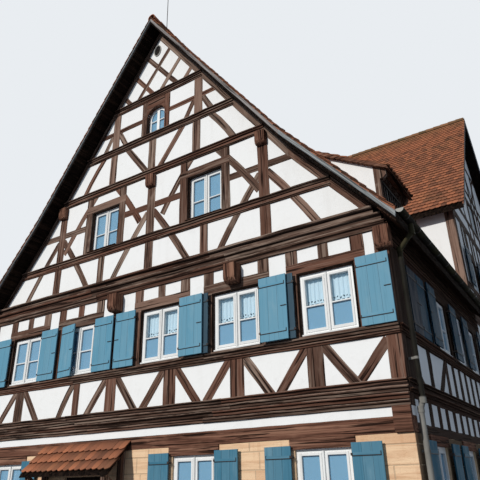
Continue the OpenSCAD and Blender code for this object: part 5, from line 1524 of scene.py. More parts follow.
def tile_places(profile, u0, u1, settings, overhang):
    """The middle, the start up the slope and the width of every tile: courses of equal exposure,
    every second one shifted by half a tile, with a half tile at each end."""
    length = np.linalg.norm(np.diff(profile, axis=0), axis=1).sum() - RIDGE_CLEAR
    courses = int(round(length / settings.exposure))
    starts = np.arange(courses) * length / courses - overhang
    columns = max(1, int(round((u1 - u0) / settings.tile_w)))
    w = (u1 - u0) / columns
    even = u0 + w * (np.arange(columns) + 0.5), np.full(columns, w)
    odd_middles = np.concatenate([[u0 + w / 4], u0 + w * np.arange(1, columns), [u1 - w / 4]])
    odd = odd_middles, np.concatenate([[w / 2], np.full(columns - 1, w), [w / 2]])
    rows = [(odd if k % 2 else even) for k in range(courses)]
    u = np.concatenate([middles for middles, _ in rows])
    s = np.concatenate([np.full(len(row[0]), start) for row, start in zip(rows, starts)])
    return u, s, np.concatenate([widths for _, widths in rows])


def tile_rows(
    shape, profile, put, ends, rng, settings, keep=None, tone_at=None, overhang=OVERHANG, sides=1.0
):
    """Plain tiles in courses up a slope. The profile's points, eave first, are (out, height). A
    tile's outline is a rectangle with a shallow arc, the square of x, for its lower end; it lies
    tilted, its lower end on the tile below, with small seeded turns and lifts. Its painted shade is
    1 on a tile's lower face, grows where the next course covers it, and is given for its edges."""
    long = settings.tile_l
    profile = np.array(profile, float)
    u, s, wide = tile_places(profile, *ends, settings, overhang)
    legs = np.diff(profile, axis=0)
    steps = np.linalg.norm(legs, axis=1)
    knots = np.concatenate([[0], np.cumsum(steps)])
    leg = np.clip(np.searchsorted(knots, s + 0.5 * long) - 1, 0, len(steps) - 1)
    along = legs[leg] / steps[leg][:, None]
    base = profile[leg] + along * (s - knots[leg])[:, None]
    normal = np.stack([-along[:, 1], along[:, 0]], 1)
    normal *= np.sign(normal[:, 1])[:, None]
    if keep is not None:
        centre = base + along * long / 3
        mask = keep(put(u, centre[:, 0], centre[:, 1]))
        u, s, wide, along, base, normal = (v[mask] for v in (u, s, wide, along, base, normal))
    n = len(u)
    outline = [(-1, long)] + [(x, TILE_ARC * x * x) for x in np.linspace(-1, 1, 6)] + [(1, long)]
    outline = np.array(outline)
    m = len(outline)
    a = outline[None, :, 0] * (wide / 2 - TILE_GAP)[:, None]
    b = np.broadcast_to(outline[None, :, 1], a.shape)
    turn = rng.normal(0, 0.008, (n, 1))
    a, b = a - b * turn, b + a * turn + rng.normal(0, 0.003, (n, 1))
    rise = TILE_RISE - TILE_FALL * b / long + rng.uniform(-0.003, 0.003, (n, 1))
    heights = np.stack([rise, rise - settings.tile_t], 1)
    out, up = (
        base[:, k, None, None] + along[:, k, None, None] * b[:, None]
        + normal[:, k, None, None] * heights
        for k in (0, 1)
    )
    points = put(u[:, None, None] + a[:, None], out, up).reshape(n, -1, 3)
    template = [tuple(range(m)), tuple(range(2 * m - 1, m - 1, -1))]
    template += [(i, m + i, m + (i + 1) % m, (i + 1) % m) for i in range(m)]
    tone = rng.random((n, 1))
    if tone_at is not None:
        tone = np.clip(tone * 0.7 + tone_at(s)[:, None], 0, 1)
    # Painted shade: dark where the next course covers the tile, and on its lower face and edges.
    covered = np.clip((outline[:, 1] - 0.4 * long) / (0.1 * long), 0, 1)
    soil = np.concatenate([0.8 * covered, np.full(m, sides)])
    shape.add(points, template, None, tone, 0.0, soil)


# By default the boarding takes the near black wood: painted shade under the roofs.
def sink_top(node, name, planes, depth, finish="deck"):
    """A roof's boarding: a merged copy of its slab, whose upper points go down by the depth. A
    plane is (normal, a point on it), and a point of two planes moves along their mean normal."""
    thing, points = merged_copy(node, name)
    shift = np.zeros_like(points)
    for normal, origin in planes:
        shift[np.abs((points - origin) @ normal) < 0.0015] += normal
    moved = np.linalg.norm(shift, axis=1) > 0
    shift[moved] /= np.linalg.norm(shift[moved], axis=1)[:, None]
    points[moved] -= shift[moved] * depth
    set_points(thing, points)
    dress(thing, finish, (node,))


def square_out(pitch):
    """One unit square to a slope, as (out, height)."""
    return [np.sin(pitch), np.cos(pitch)]


def slope_profile(depth):
    """The front part's slope from eave to ridge, sunk by a depth square to the tiles."""
    e = HALF_W + EAVE_OUT
    points = [[e, under(e)], [KINK_X, KINK_Z], [0, PEAK_Z]]
    kink = square_out(0.5 * (ROOF_PITCH + FOOT_PITCH))
    shift = np.array([square_out(FOOT_PITCH), kink, [0, 1 / np.cos(ROOF_PITCH)]])
    return np.array(points, float) + [0, ROOF_DZ] - depth * shift


def wing_profile(depth):
    """The wing's slope from eave to ridge, sunk in the same way."""
    e = WING_HALF + WING_EAVE_OUT
    points = np.array([[e, wing_under(e)], [0, WING_PEAK_Z]], float) + [0, WING_DZ]
    return points - depth * np.array([square_out(WING_PITCH), [0, 1 / np.cos(WING_PITCH)]])


def roof_top(x):
    """Height of the top of the front part's roof over a distance from its middle."""
    return under(x) + ROOF_DZ


def over_wing(p, spare=0.05):
    """Whether a point of the front part's slopes lies clear of the wing."""
    d = np.abs(p[..., 1] - MID_Y)
    before_eave = p[..., 1] < MID_Y - WING_HALF - WING_EAVE_OUT - 0.05
    before_wall = p[..., 1] < FRONT_Y + FRONT_L - 0.06
    clear = before_wall & ((p[..., 2] < wing_under(d)) | before_eave)
    return clear | (p[..., 2] > wing_under(d) + WING_DZ + spare)


def over_front(p):
    """Whether a point of the wing's slopes lies clear of the front part's roof."""
    x = np.abs(p[..., 0])
    return (p[..., 2] > roof_top(x) - 0.02) | (x > HALF_W + 0.02) | (p[..., 1] > MID_Y)


def beside_dormer(p):
    """Whether a point of the right slope lies outside the dormer."""
    y, x = p[..., 1] - FRONT_Y - DORMER_Y, p[..., 0]
    between = (y > 0.02) & (y < DORMER_W - 0.02)
    return ~(between & (x > DORMER_START + 0.02) & (x < DORMER_X + 0.03))


def ridge_line(shape, start, end, rng):
    """Half round ridge tiles, each a tapered shell of arcs: its radius goes from wide to narrow
    along its length, and its narrow end lies under the next tile's wide one."""
    start, end = np.array(start, float), np.array(end, float)
    total = np.linalg.norm(end - start)
    d = (end - start) / total
    side, upright = np.cross(d, [0, 0, 1.0]), np.array([0, 0, 1.0])
    count = int(round(total / RIDGE_TILE))
    along = total / count
    angle = np.linspace(-0.5, np.pi + 0.5, 11)
    radius = RIDGE_R - np.array([0, 0.004, 0.02])
    s = np.arange(count)[:, None] * along + np.array([0, 0.12, 1.0]) * (along * 1.12)
    s = np.minimum(s, total)
    lift = rng.uniform(-0.003, 0.0, (count, 1, 1))
    centre = (start + d * s[..., None])[:, :, None]
    shells = []
    for inner in (0.0, 0.02):
        r = (radius - inner)[None, :, None] + 0 * s[..., None]
        across, up = r * np.cos(angle), r * np.sin(angle) + lift
        shells.append(centre + side * across[..., None] + upright * up[..., None])
    loop = np.concatenate([shells[0], shells[1][:, :, ::-1]], 2)
    shape.add(loop.reshape(count, -1, 3), tube_template(3, 22), None, rng.random((count, 1)))


class HouseRoofs(bpy.types.Operator):
    """Makes the boarding, the plain tiles and the ridge tiles of all roofs"""

    bl_idname = "house.roofs"
    bl_label = "Roofs"

    def execute(self, context):
        settings = context.scene.house_roof
        depth = settings.deck_depth
        verge = VERGE_OUT + VERGE_T
        for s, side in ((1, "right"), (-1, "left")):
            kink = np.array([s * KINK_X, 0, KINK_Z + ROOF_DZ])
            normals = [np.array([s * np.sin(a), 0, np.cos(a)]) for a in (ROOF_PITCH, FOOT_PITCH)]
            sink_top("roof_" + side, "boarding_" + side, [(a, kink) for a in normals], depth)
            shape, rng = Shape(), np.random.default_rng(300 + s)
            profile, ends = slope_profile(depth), (FRONT_Y - verge, MID_Y)
            keep = self.right_slope if s > 0 else over_wing
            tile_rows(shape, profile, sloped("x", s), ends, rng, settings, keep)
            shape.piece("tiles_" + side, "tile", "roof_tile")
        for s, side, overhang in ((-1, "front", OVERHANG), (1, "back", LIE_BACK)):
            normal = np.array([0, s * np.sin(WING_PITCH), np.cos(WING_PITCH)])
            plane = (normal, np.array([0, MID_Y, WING_PEAK_Z + WING_DZ]))
            sink_top("wing_roof_" + side, "boarding_wing_" + side, [plane], depth)
            shape, rng = Shape(), np.random.default_rng(310 + s)
            profile, ends = wing_profile(depth), (-HALF_W - verge, HALF_W + verge)
            put = sloped("y", s, MID_Y)
            tile_rows(
                shape, profile, put, ends, rng, settings, over_front, self.lighter_crest, overhang
            )
            shape.piece("tiles_wing_" + side, "wing_tile", "roof_tile")
        self.ridges(np.random.default_rng(320))
        return {"FINISHED"}

    def right_slope(self, p):
        """Whether a point of the right slope lies clear of the wing and the dormer."""
        return over_wing(p) & beside_dormer(p)

    def lighter_crest(self, run):
        """What is added to the tones of the wing's tiles, more on the highest courses."""
        return np.where(run > 7.2, 0.3, 0.1)

    def ridges(self, rng):
        """The front part's ridge, up to the wing's slope, and the wing's own."""
        shape = Shape()
        z = PEAK_Z + ROOF_DZ - RIDGE_R / 2
        end = MID_Y - (WING_PEAK_Z + WING_DZ - z) / np.tan(WING_PITCH)
        ridge_line(shape, (0, FRONT_Y - VERGE_OUT, z), (0, end, z), rng)
        z, reach = WING_PEAK_Z + WING_DZ - RIDGE_R / 2, HALF_W + VERGE_OUT
        ridge_line(shape, (-reach, MID_Y, z), (reach, MID_Y, z), rng)
        shape.piece("ridge_cover", "tile", "roof_tile", ("ridge_tiles",))


def verge_lines():
    """The lines that verge boards follow: plane, middle, height of the tiles' top over the line,
    and the line's points from the ridge down as (distance from the middle, height)."""
    e = HALF_W + EAVE_OUT
    yield "front", 0.0, ROOF_DZ, [(0.003, PEAK_Z), (KINK_X, KINK_Z), (e, float(under(e)))]
    e = WING_HALF + WING_EAVE_OUT - 0.012
    for plane in ("right", "left"):
        yield plane, WING_MID, WING_DZ, [(0.003, WING_PEAK_Z), (e, float(wing_under(e)))]


def verge_strips(middle, points, top, foot, rng, pitch=None):
    """Quads along a line on both sides of its middle, from its foot to its top heights over the
    line; with a pitch, the line is cut into short pieces whose heights vary."""
    strips = Timbers()
    for s in (-1, 1):
        for (x0, z0), (x1, z1) in zip(points[:-1], points[1:]):
            count = 1 if pitch is None else int(round(np.hypot(x1 - x0, z1 - z0) / pitch))
            t = np.linspace(0, 1, count + 1)
            lift = np.zeros(count) if pitch is None else rng.uniform(-0.014, 0.012, count)
            x, z = middle + s * (x0 + (x1 - x0) * t), z0 + (z1 - z0) * t
            for i, rise in enumerate(lift):
                heads = [(x[k], z[k] + top + rise) for k in (i, i + 1)]
                strips.quad(*heads, *((x[k], z[k] + foot) for k in (i, i + 1)))
    return strips


class HouseVerges(bpy.types.Operator):
    """Makes the verge boards of the gables, the bed of the tiles over them and the boards under
    the eaves"""

    bl_idname = "house.verges"
    bl_label = "Verges and eaves"

    def execute(self, context):
        settings = context.scene.house_timber
        face = VERGE_OUT + VERGE_T
        rng = np.random.default_rng(400)
        boards, bed = Shape(), Shape()
        for plane, middle, rise, points in verge_lines():
            top = rise - TILE_EDGE
            strips = verge_strips(middle, points, top - 0.01, top - VERGE_H + 0.012, rng)
            strips.build(boards, plane, rng, settings, VERGE_T, face)
            strips = verge_strips(middle, points, rise - 0.045, top - 0.03, rng, EDGE_PITCH)
            strips.build(bed, plane, rng, settings, 0.05, face - 0.012)
        boards.piece("verge_planks", "verge", "weathered_board", ("verge_boards",))
        bed.piece("verge_tile_edges", "bed_tile", "roof_tile")
        self.eaves(rng)
        return {"FINISHED"}

    def eaves(self, rng):
        """Boards along the eaves: each is a box whose corners follow the underside of the roof."""
        shape, n = Shape(), 4
        cuts = np.linspace(HALF_W + 0.012, HALF_W + EAVE_OUT - 0.01, n + 1)
        a, b = cuts[:-1] + 0.004, cuts[1:] - 0.004
        thick = rng.uniform(0.016, 0.03, n)
        ends = np.array([FRONT_Y - VERGE_OUT + 0.002, FRONT_Y + FRONT_L - 0.01])
        x = np.stack([a, b, b, a], 1)[:, None].repeat(2, 1)
        z = under(x) + 0.001
        z[..., 2:] -= thick[:, None, None]
        y = np.broadcast_to(ends[None, :, None], x.shape)
        edge = np.tile([-1, 1, 1, -1.0], 2)
        for s in (1, -1):
            points = np.stack([s * x, y, z], -1).reshape(n, 8, 3)
            grain = points[..., [1, 0, 2]] + rng.uniform(0, 40, (n, 1, 3))
            shape.add(points, tube_template(2, 4), grain, rng.random((n, 1)), edge)
        # The eave boards take the dark soffit wood: painted shade under the eaves.
        shape.piece("eave_boards", "soffit", "timber")


class HouseDormer(bpy.types.Operator):
    """Makes the dormer's tiles, boarding and balustrade"""

    bl_idname = "house.dormer"
    bl_label = "Dormer"

    def execute(self, context):
        settings = context.scene.house_roof
        depth = settings.deck_depth
        out, up = square_out(DORMER_PITCH)
        start_z = float(roof_top(DORMER_START))
        plane = (np.array([out, 0, up]), np.array([DORMER_START, 0, start_z]))
        sink_top("dormer_roof", "boarding_dormer", [plane], depth, "lintel")
        x = np.array([DORMER_X + DORMER_EAVE, DORMER_START - 0.05])
        z = start_z - (x - DORMER_START) * np.tan(DORMER_PITCH)
        profile = np.stack([x, z], 1) - depth * np.array([out, up])
        start = FRONT_Y + DORMER_Y - DORMER_VERGE
        ends = (start, start + DORMER_W + 2 * DORMER_VERGE)
        shape, rng = Shape(), np.random.default_rng(410)
        tile_rows(shape, profile, sloped("x"), ends, rng, settings, sides=0.3)
        shape.piece("tiles_dormer", "tile", "roof_tile")
        self.balustrade(np.random.default_rng(415))
        give("timber_upright", "dormer_frame")
        return {"FINISHED"}

    def balustrade(self, rng):
        """Evenly spread upright slats under a hand rail, as boxes on the plane of the side wall."""
        shape = Shape()
        start, clear = DORMER_Y + DORMER_POST, DORMER_W - 2 * DORMER_POST
        pitch = clear / SLATS
        along = start + (pitch - SLAT_W) / 2 + pitch * np.arange(SLATS)
        out = DORMER_X - HALF_W
        head = float(roof_top(DORMER_X)) + BALUSTRADE_H - HAND_RAIL_H
        foot = float(roof_top(DORMER_X - 2 * SLAT_T)) - 0.04
        low = [(y, foot, out - 2 * SLAT_T) for y in along] + [(start, head, out - 3 * SLAT_T)]
        high = [(y + SLAT_W, head, out - SLAT_T) for y in along]
        high.append((start + clear, head + HAND_RAIL_H, out))
        boxes(shape, "right", low, high, rng)
        shape.piece("dormer_balusters", "grey_board", "timber", ("dormer_slats",))


# ---- Windows, shutters and doors

GROUND_WALLS = (
    ("front", GROUND_FRONT), ("right", GROUND_SIDE), ("left", GROUND_SIDE), ("back", GROUND_BACK),
)
# Casements lap over their frame by this
LAP = 0.012
LACE_DROP, LACE_FOLDS = 0.56, 5
# A shutter's straps, as shares of its height, and the front of its boards, straps and irons
STRAP_AT = (0.12, 0.85)
BOARD_FRONT, STRAP_FRONT, IRON_FRONT = 0.03, 0.038, 0.042
LEAF_W = 0.62
LEDGES = (0.3, 1.0, 1.7)
# Iron hoops round the gutter: thickness, width and distance
HOOP_T, HOOP_W, HOOP_STEP = 0.005, 0.026, 0.72


def light_parts(opening):
    """The two lights of a window as (left, right, foot, head)."""
    middle, sill, w, h = opening
    wide = (w - 2 * SASH_W - MULLION) / 2
    for x in (middle - MULLION / 2 - wide, middle + MULLION / 2):
        yield x, x + wide, sill + SASH_W, sill + h - SASH_W


def casements(shape, plane, openings, rng, settings, set_back=WINDOW_BACK, transom=0.46):
    """Each light has four bars round it and a thinner one across, and each window a strip up its
    middle and a sill, all as boxes."""
    low, high = [], []
    bar, near, back = settings.casement_w, LAP - set_back, -set_back - SASH_T - 0.004
    lip = -0.004 if set_back < 0.1 else 0.02 - set_back
    for opening in openings:
        for x0, x1, z0, z1 in light_parts(opening):
            cross = z0 + transom * (z1 - z0)
            a, b = x0 + bar, x1 - bar
            for left, right, foot, head in (
                (x0 - LAP, a, z0 - LAP, z1 + LAP), (b, x1 + LAP, z0 - LAP, z1 + LAP),
                (a, b, z0 - LAP, z0 + bar * 1.3), (a, b, z1 - bar, z1 + LAP),
                (a, b, cross - 0.014, cross + 0.014),
            ):
                low.append((left, foot, back))
                high.append((right, head, near))
        middle, sill, w, h = opening
        low.append((middle - 0.018, sill + SASH_W / 2, -set_back))
        high.append((middle + 0.018, sill + h - SASH_W / 2, 0.026 - set_back))
        low.append((middle - w / 2, sill - 0.002, -set_back - 0.01))
        high.append((middle + w / 2, sill + 0.03, lip))
    boxes(shape, plane, low, high, rng, 0.005)


def curtain(name, plane, opening, side, drop, rng):
    """A gathered lace panel behind one light: x runs across it, z down it, and its folds are two
    sines of x whose depth grows down the drop; the hem is scalloped by the absolute sine of x."""
    x0, x1, _, z1 = list(light_parts(opening))[side]
    x0, x1, z1 = x0 - 0.02, x1 + 0.02, z1 + 0.03
    nu, nv = 61, 31
    u, v = np.meshgrid(np.linspace(0, 1, nu), np.linspace(0, 1, nv))
    phase = rng.uniform(0, 6.28, 2)
    broad = 0.010 * np.sin(2 * np.pi * LACE_FOLDS * u + phase[0])
    fold = broad + 0.005 * np.sin(2 * np.pi * 11 * u + phase[1])
    hem = -0.035 * np.abs(np.sin(np.pi * LACE_FOLDS * u)) ** 0.6 + 0.02
    x = x0 + (x1 - x0) * u
    z = z1 - (drop + hem) * v
    out = -WINDOW_BACK - SASH_T - 0.03 + fold * (0.6 + 0.4 * v)
    points = place(plane, np.stack([x, z, out], -1)).reshape(-1, 3)
    ids = np.arange(nu * nv).reshape(nv, nu)
    quads = np.stack([ids[:-1, :-1], ids[1:, :-1], ids[1:, 1:], ids[:-1, 1:]], -1).reshape(-1, 4)
    mesh = bpy.data.meshes.new(name)
    mesh.from_pydata(points, [], quads)
    cloth = np.stack([u * (x1 - x0) * 1.1, v * drop, 0 * u], -1).astype(np.float32)
    mesh.attributes.new("grain", "FLOAT_VECTOR", "POINT").data.foreach_set("vector", cloth.ravel())
    mesh.polygons.foreach_set("use_smooth", np.ones(len(mesh.polygons), bool))
    mesh.update()
    thing = dress(link_object(name, mesh), "lace")


class HouseWindows(bpy.types.Operator):
    """Makes the casements and gives the window frames and glass their finishes"""

    bl_idname = "house.windows"
    bl_label = "Windows"

    def execute(self, context):
        settings = context.scene.house_joinery
        rng = np.random.default_rng(500)
        wing_side = WING_WINDOWS + WING_LOFT_WINDOWS
        wing_back = BACK_WINDOWS + WING_BACK_WINDOWS
        walls = {
            "front": [("front", FRONT_WINDOWS)],
            "sides": [("right", SIDE_WINDOWS), ("left", SIDE_WINDOWS)],
            "ground": GROUND_WALLS,
            "wing": [("right", wing_side), ("left", wing_side), ("back", wing_back)],
        }
        for name, parts in walls.items():
            shape = Shape()
            for plane, openings in parts:
                casements(shape, plane, openings, rng, settings)
            if name == "front":
                casements(shape, "front", GABLE_WINDOWS, rng, settings, GABLE_BACK, 0.42)
                self.loft_bars(shape, rng)
            shape.piece("casements_" + name, "casement", "window_paint")
        self.sills(rng)
        self.shadow_strips(rng)
        give("white_paint", "windows_front", "windows_sides", "windows_ground", "windows_wing")
        give("glass", "window_glass")
        for i in (2, 3, 4):
            for side in (0, 1):
                name = f"curtain_{i}_{'lr'[side]}"
                curtain(name, "front", FRONT_WINDOWS[i], side, LACE_DROP, rng)
        return {"FINISHED"}

    def loft_bars(self, shape, rng):
        """The bars across the arched window's two lights."""
        inner, z = LOFT_W / 2 - SASH_W, LOFT_Z + 0.47
        back, near = -GABLE_BACK - SASH_T, 0.006 - GABLE_BACK
        low = [(-inner, z, back), (MULLION / 2, z, back)]
        high = [(-MULLION / 2, z + 0.03, near), (inner, z + 0.03, near)]
        boxes(shape, "front", low, high, rng)

    def sills(self, rng):
        """Boards under the gable's two windows."""
        shape = Shape()
        low = [(c - w / 2, z + 0.002, -GABLE_BACK + 0.02) for c, z, w, _ in GABLE_WINDOWS]
        high = [(c + w / 2 + 0.03, z + 0.024, 0.075) for c, z, w, _ in GABLE_WINDOWS]
        boxes(shape, "front", low, high, rng, 0.006)
        # The sills take the dark soffit wood: painted shade.
        shape.piece("gable_sills", "soffit", "timber")

    def shadow_strips(self, rng):
        """Near black strips beside and over the front windows that have open shutters: a painted
        shadow gap round their frames.
        """
        shape, wide, lap = Shape(), 0.035, 0.001
        low, high = [], []
        for c, sill, w, h in FRONT_WINDOWS[:1] + FRONT_WINDOWS[2:]:
            left, right, head = c - w / 2, c + w / 2, sill + h
            for a, b, foot in (
                (left - wide, left + lap, sill), (right - lap, right + wide, sill),
                (left, right, head),
            ):
                low.append((a, foot, -0.02))
                high.append((b, head + 0.04, 0.012))
        boxes(shape, "front", low, high, rng, 0.003)
        shape.piece("window_shadow_strips", "deck", "timber")


def leaf_parts(w, z, h, board_w):
    """A shutter's leaf from its hinge outwards: upright boards and two painted straps, and in iron
    the lower edge and the tip of each strap, which are partly iron and partly a painted shadow of
    the strap, and the hook."""
    cuts = np.linspace(0, w, max(3, int(round(w / board_w))) + 1)
    boards = [
        ((a + 0.0008, z, 0.0), (b - 0.0008, z + h, BOARD_FRONT))
        for a, b in zip(cuts[:-1], cuts[1:])
    ]
    straps = [z + v * h for v in STRAP_AT]
    tip, end, lie = 0.93 * w, 0.95 * w, BOARD_FRONT
    boards += [((0.02, foot, lie), (tip, foot + 0.045, STRAP_FRONT)) for foot in straps]
    # Dark strips under each strap and at its tip, in the iron finish: partly iron, partly painted
    # shadow of the strap.
    irons = [((0.0, foot - 0.012, lie), (end, foot, IRON_FRONT)) for foot in straps]
    irons += [((tip, foot, lie), (end, foot + 0.055, IRON_FRONT)) for foot in straps]
    hook = z + 0.5 * h
    irons.append(((0.78 * w, hook, lie), (w - 0.01, hook + 0.014, 0.044)))
    return boards, irons


def shutter_leaves():
    """All leaves as (plane, hinge place, way, foot, height, width, distance from the wall, turn,
    paint loss and shade), where a leaf with 1 in the last place has lost most of its paint; on the
    front leaves that lie behind their neighbours, that 1 is painted shade in the old colour."""
    leaves = []

    def leaf(plane, window, s, gap, wide, off=0.06, turn=0.0, way=None, paint_loss_and_shade=0.0):
        """A leaf whose hinge lies a gap beside a window, on its left or right."""
        c, sill, w, h = window
        hinge = c + s * (w / 2 + gap)
        leaves.append((plane, hinge, way or s, sill - 0.02, h + 0.08, wide, off, turn, paint_loss_and_shade))

    for i, window in enumerate(FRONT_WINDOWS):
        if i == 1:
            leaf("front", window, -1, 0.03, window[2] / 2 - 0.01, 0.015, -8.0, 1)
        else:
            # The left leaves of the last two front windows lie behind their neighbours' right
            # leaves: their 1 in the last place is painted shade.
            leaf("front", window, -1, 0.15 if i == 2 else 0.09, LEAF_W, paint_loss_and_shade=float(i > 2))
        leaf("front", window, 1, 0.09, LEAF_W, 0.115 if i in (2, 3) else 0.06)
    for plane in ("right", "left"):
        for s in (-1, 1):
            first = SIDE_WINDOWS[0]
            leaf(plane, first, s, 0.015, first[2] / 2 + 0.013, 0.015, 0.0, -s, float(s < 0))
            for window in SIDE_WINDOWS[1:] + WING_WINDOWS:
                leaf(plane, window, s, 0.09, LEAF_W)
    for plane, openings in GROUND_WALLS:
        for window in openings:
            for s in (-1, 1):
                leaf(plane + " ground", window, s, 0.04, window[2] / 2 + 0.005)
    return leaves


def leaf_boxes(shape, parts, leaf, rng, chamfer):
    """Boxes of a leaf, turned about its hinge and mirrored to its way."""
    plane, hinge, way, _, _, _, off, turn, paint_loss_and_shade = leaf
    flat, n = Shape(), len(parts)
    boxes(flat, "flat", *zip(*parts), rng, chamfer)
    along, up, out = flat.points[0].T
    angle = np.radians(-turn)
    turned = hinge + way * (along * np.cos(angle) - out * np.sin(angle))
    out = off + (along * np.sin(angle) + out * np.cos(angle))
    local = np.stack([turned, up, out], 1).reshape(n, -1, 3)
    grain = flat.fields["grain"][0].reshape(n, -1, 3)
    tone, across = (flat.fields[field][0].reshape(n, -1) for field in ("tone", "across"))
    shape.add(place(plane.split()[0], local), tube_template(3, 4), grain, tone, across, paint_loss_and_shade)


class HouseShutters(bpy.types.Operator):
    """Makes the boarded shutters with their straps and hinges"""

    bl_idname = "house.shutters"
    bl_label = "Shutters"

    def execute(self, context):
        settings = context.scene.house_joinery
        rng = np.random.default_rng(600)
        groups, iron = {}, Shape()
        for leaf in shutter_leaves():
            plane, _, _, foot, high, wide, off = leaf[:7]
            boards, irons = leaf_parts(wide, foot, high, settings.board_w)
            leaf_boxes(groups.setdefault(plane, Shape()), boards, leaf, rng, 0.003)
            leaf_boxes(iron, irons, leaf, rng, 0.002)
            pins = [foot + u * high for u in STRAP_AT]
            pins = [((-0.02, z, 0.001 - off), (0.03, z + 0.04, 0.036)) for z in pins]
            leaf_boxes(iron, pins, leaf, rng, 0.003)
        # The right wall's shutters take the teal, which is deeper paint darkened as painted shade,
        # and the shaded ground paint, which is painted shade.
        finishes = {
            "front": ("shutter", ("shutters_front",)),
            "right": ("teal_shutter", ("shutters_right",)),
            "left": ("shutter", ("shutters_left",)),
            "front ground": ("deep_shutter", ("shutters_ground",)),
            "right ground": ("side_shutter", ()),
        }
        for plane, shape in groups.items():
            paint, nodes = finishes.get(plane, ("deep_shutter", ()))
            name = "shutter_boards_" + plane.replace(" ", "_")
            shape.piece(name, paint, "shutter_paint", nodes)
        iron.piece("shutter_irons", "iron", "iron")
        return {"FINISHED"}


class HouseEntrance(bpy.types.Operator):
    """Makes the plank door and the small roof over it"""

    bl_idname = "house.entrance"
    bl_label = "Entrance"

    def execute(self, context):
        settings = context.scene.house_roof
        rng = np.random.default_rng(700)
        self.door(rng)
        out, up = square_out(PORCH_PITCH)
        foot = PORCH_Z - PORCH_OUT * np.tan(PORCH_PITCH)
        depth = settings.deck_depth
        profile = np.array([[PORCH_OUT, foot], [0.0, PORCH_Z]]) - depth * np.array([out, up])
        shape, ends = Shape(), (DOOR_X - PORCH_W / 2, DOOR_X + PORCH_W / 2)
        tile_rows(
            shape, profile, sloped("y", -1, FRONT_Y), ends, rng, settings,
            tone_at=lambda run: 0.1 + 0 * run, overhang=LIE_BACK,
        )
        shape.piece("tiles_porch", "wing_tile", "roof_tile")
        plane = (np.array([0, -out, up]), np.array([0, FRONT_Y, PORCH_Z]))
        sink_top("porch_roof", "boarding_porch", [plane], depth)
        give("timber_upright", "porch_brackets")
        return {"FINISHED"}

    def door(self, rng):
        """Upright planks, three ledges on them and the frame round them, as boxes."""
        shape, frame_w = Shape(), 0.09
        outer = DOOR_X - DOOR_W / 2, DOOR_X + DOOR_W / 2
        left, right, head = outer[0] + frame_w, outer[1] - frame_w, DOOR_H - frame_w
        cuts = np.linspace(left, right, 8)
        low = [(a + 0.002, 0.15, -0.14) for a in cuts[:-1]]
        high = [(b - 0.002, head, -0.08) for b in cuts[1:]]
        low += [(left, z, -0.08) for z in LEDGES]
        high += [(right, z + 0.14, -0.062) for z in LEDGES]
        low += [(outer[0], 0, -0.17), (right, 0, -0.17), (left, head, -0.17)]
        high += [(left, DOOR_H, -0.05), (outer[1], DOOR_H, -0.05), (right, DOOR_H, -0.05)]
        boxes(shape, "front", low, high, rng, 0.006)
        shape.piece("door_planks", "plank", "door_wood", ("entrance_door",))


class HouseRainwater(bpy.types.Operator):
    """Makes the gutters and gives the pipes and the rod their finishes"""

    bl_idname = "house.rainwater"
    bl_label = "Rainwater"

    def execute(self, context):
        x0 = HALF_W + EAVE_OUT + GUTTER_R
        z0 = float(roof_top(HALF_W + EAVE_OUT)) - 0.09
        start, end = FRONT_Y - VERGE_OUT, FRONT_Y + FRONT_L - 0.005
        channels, irons = Shape(), Shape()
        for s in (1, -1):
            put = sloped("x", s)
            self.channel(channels, put, x0, z0, start, end)
            self.hoops(irons, put, x0, z0, np.arange(start + 0.35, end, HOOP_STEP))
        channels.piece("gutter_channels", "mossy_zinc", "zinc", ("gutters",))
        irons.piece("gutter_irons", "iron", "iron")
        give("zinc", "downpipes")
        give("iron", "lightning_rod")
        return {"FINISHED"}

    def channel(self, shape, put, x0, z0, start, end):
        """A half round sheet with a rolled front lip, its outline carried along the eave with a
        sag of a few millimetres, and a half disc at each end."""
        r, sheet = GUTTER_R - 0.006, 0.004
        angle = np.linspace(np.pi, 2 * np.pi, 15)
        outer = np.stack([np.cos(angle), np.sin(angle)], 1) * r
        roll = np.linspace(-0.2 * np.pi, 1.1 * np.pi, 8)
        lip = np.stack([r - 0.008 + 0.011 * np.cos(roll), 0.002 + 0.009 * np.sin(roll)], 1)
        x, z = np.concatenate([outer, lip, outer[::-1] * (1 - sheet / r)]).T
        y = np.linspace(start + sheet, end - sheet, 24)[:, None]
        sag = 0.004 * np.sin(3.1 * (y - FRONT_Y) + 1.0)
        shape.add(put(y, x0 + x, z0 + z + sag).reshape(1, -1, 3), tube_template(24, len(x)))
        x, z = (outer * (GUTTER_R - 0.001) / r).T
        for y0 in (start, end - sheet):
            disc = put(y0 + np.array([[0.0], [sheet]]), x0 + x, z0 + z).reshape(1, -1, 3)
            shape.add(disc, tube_template(2, len(x)), soil=1.0)

    def hoops(self, shape, put, x0, z0, places):
        """Flat irons round the channel: a thin rectangle carried round a half circle."""
        angle = np.linspace(np.pi, 2 * np.pi, 11)[:, None]
        r = GUTTER_R - 0.001 - HOOP_T * np.array([1.0, 0.0, 0.0, 1.0])
        y = places[:, None, None] + HOOP_W * np.array([0.0, 0.0, 1.0, 1.0])
        points = put(y, x0 + r * np.cos(angle), z0 + r * np.sin(angle))
        shape.add(points.reshape(len(places), -1, 3), tube_template(11, 4))


# ---- Stage

# The camera's place, its yaw, pitch and roll in degrees, and its focal length in millimetres
CAMERA_AT, CAMERA_TURN, CAMERA_LENS = (8.424, -18.775, 1.95), (-32.518, 24.193, -1.32), 40.2
SKY_TINT = (0.7, 0.83, 1.0)
FLOOR_REACH = 120.0


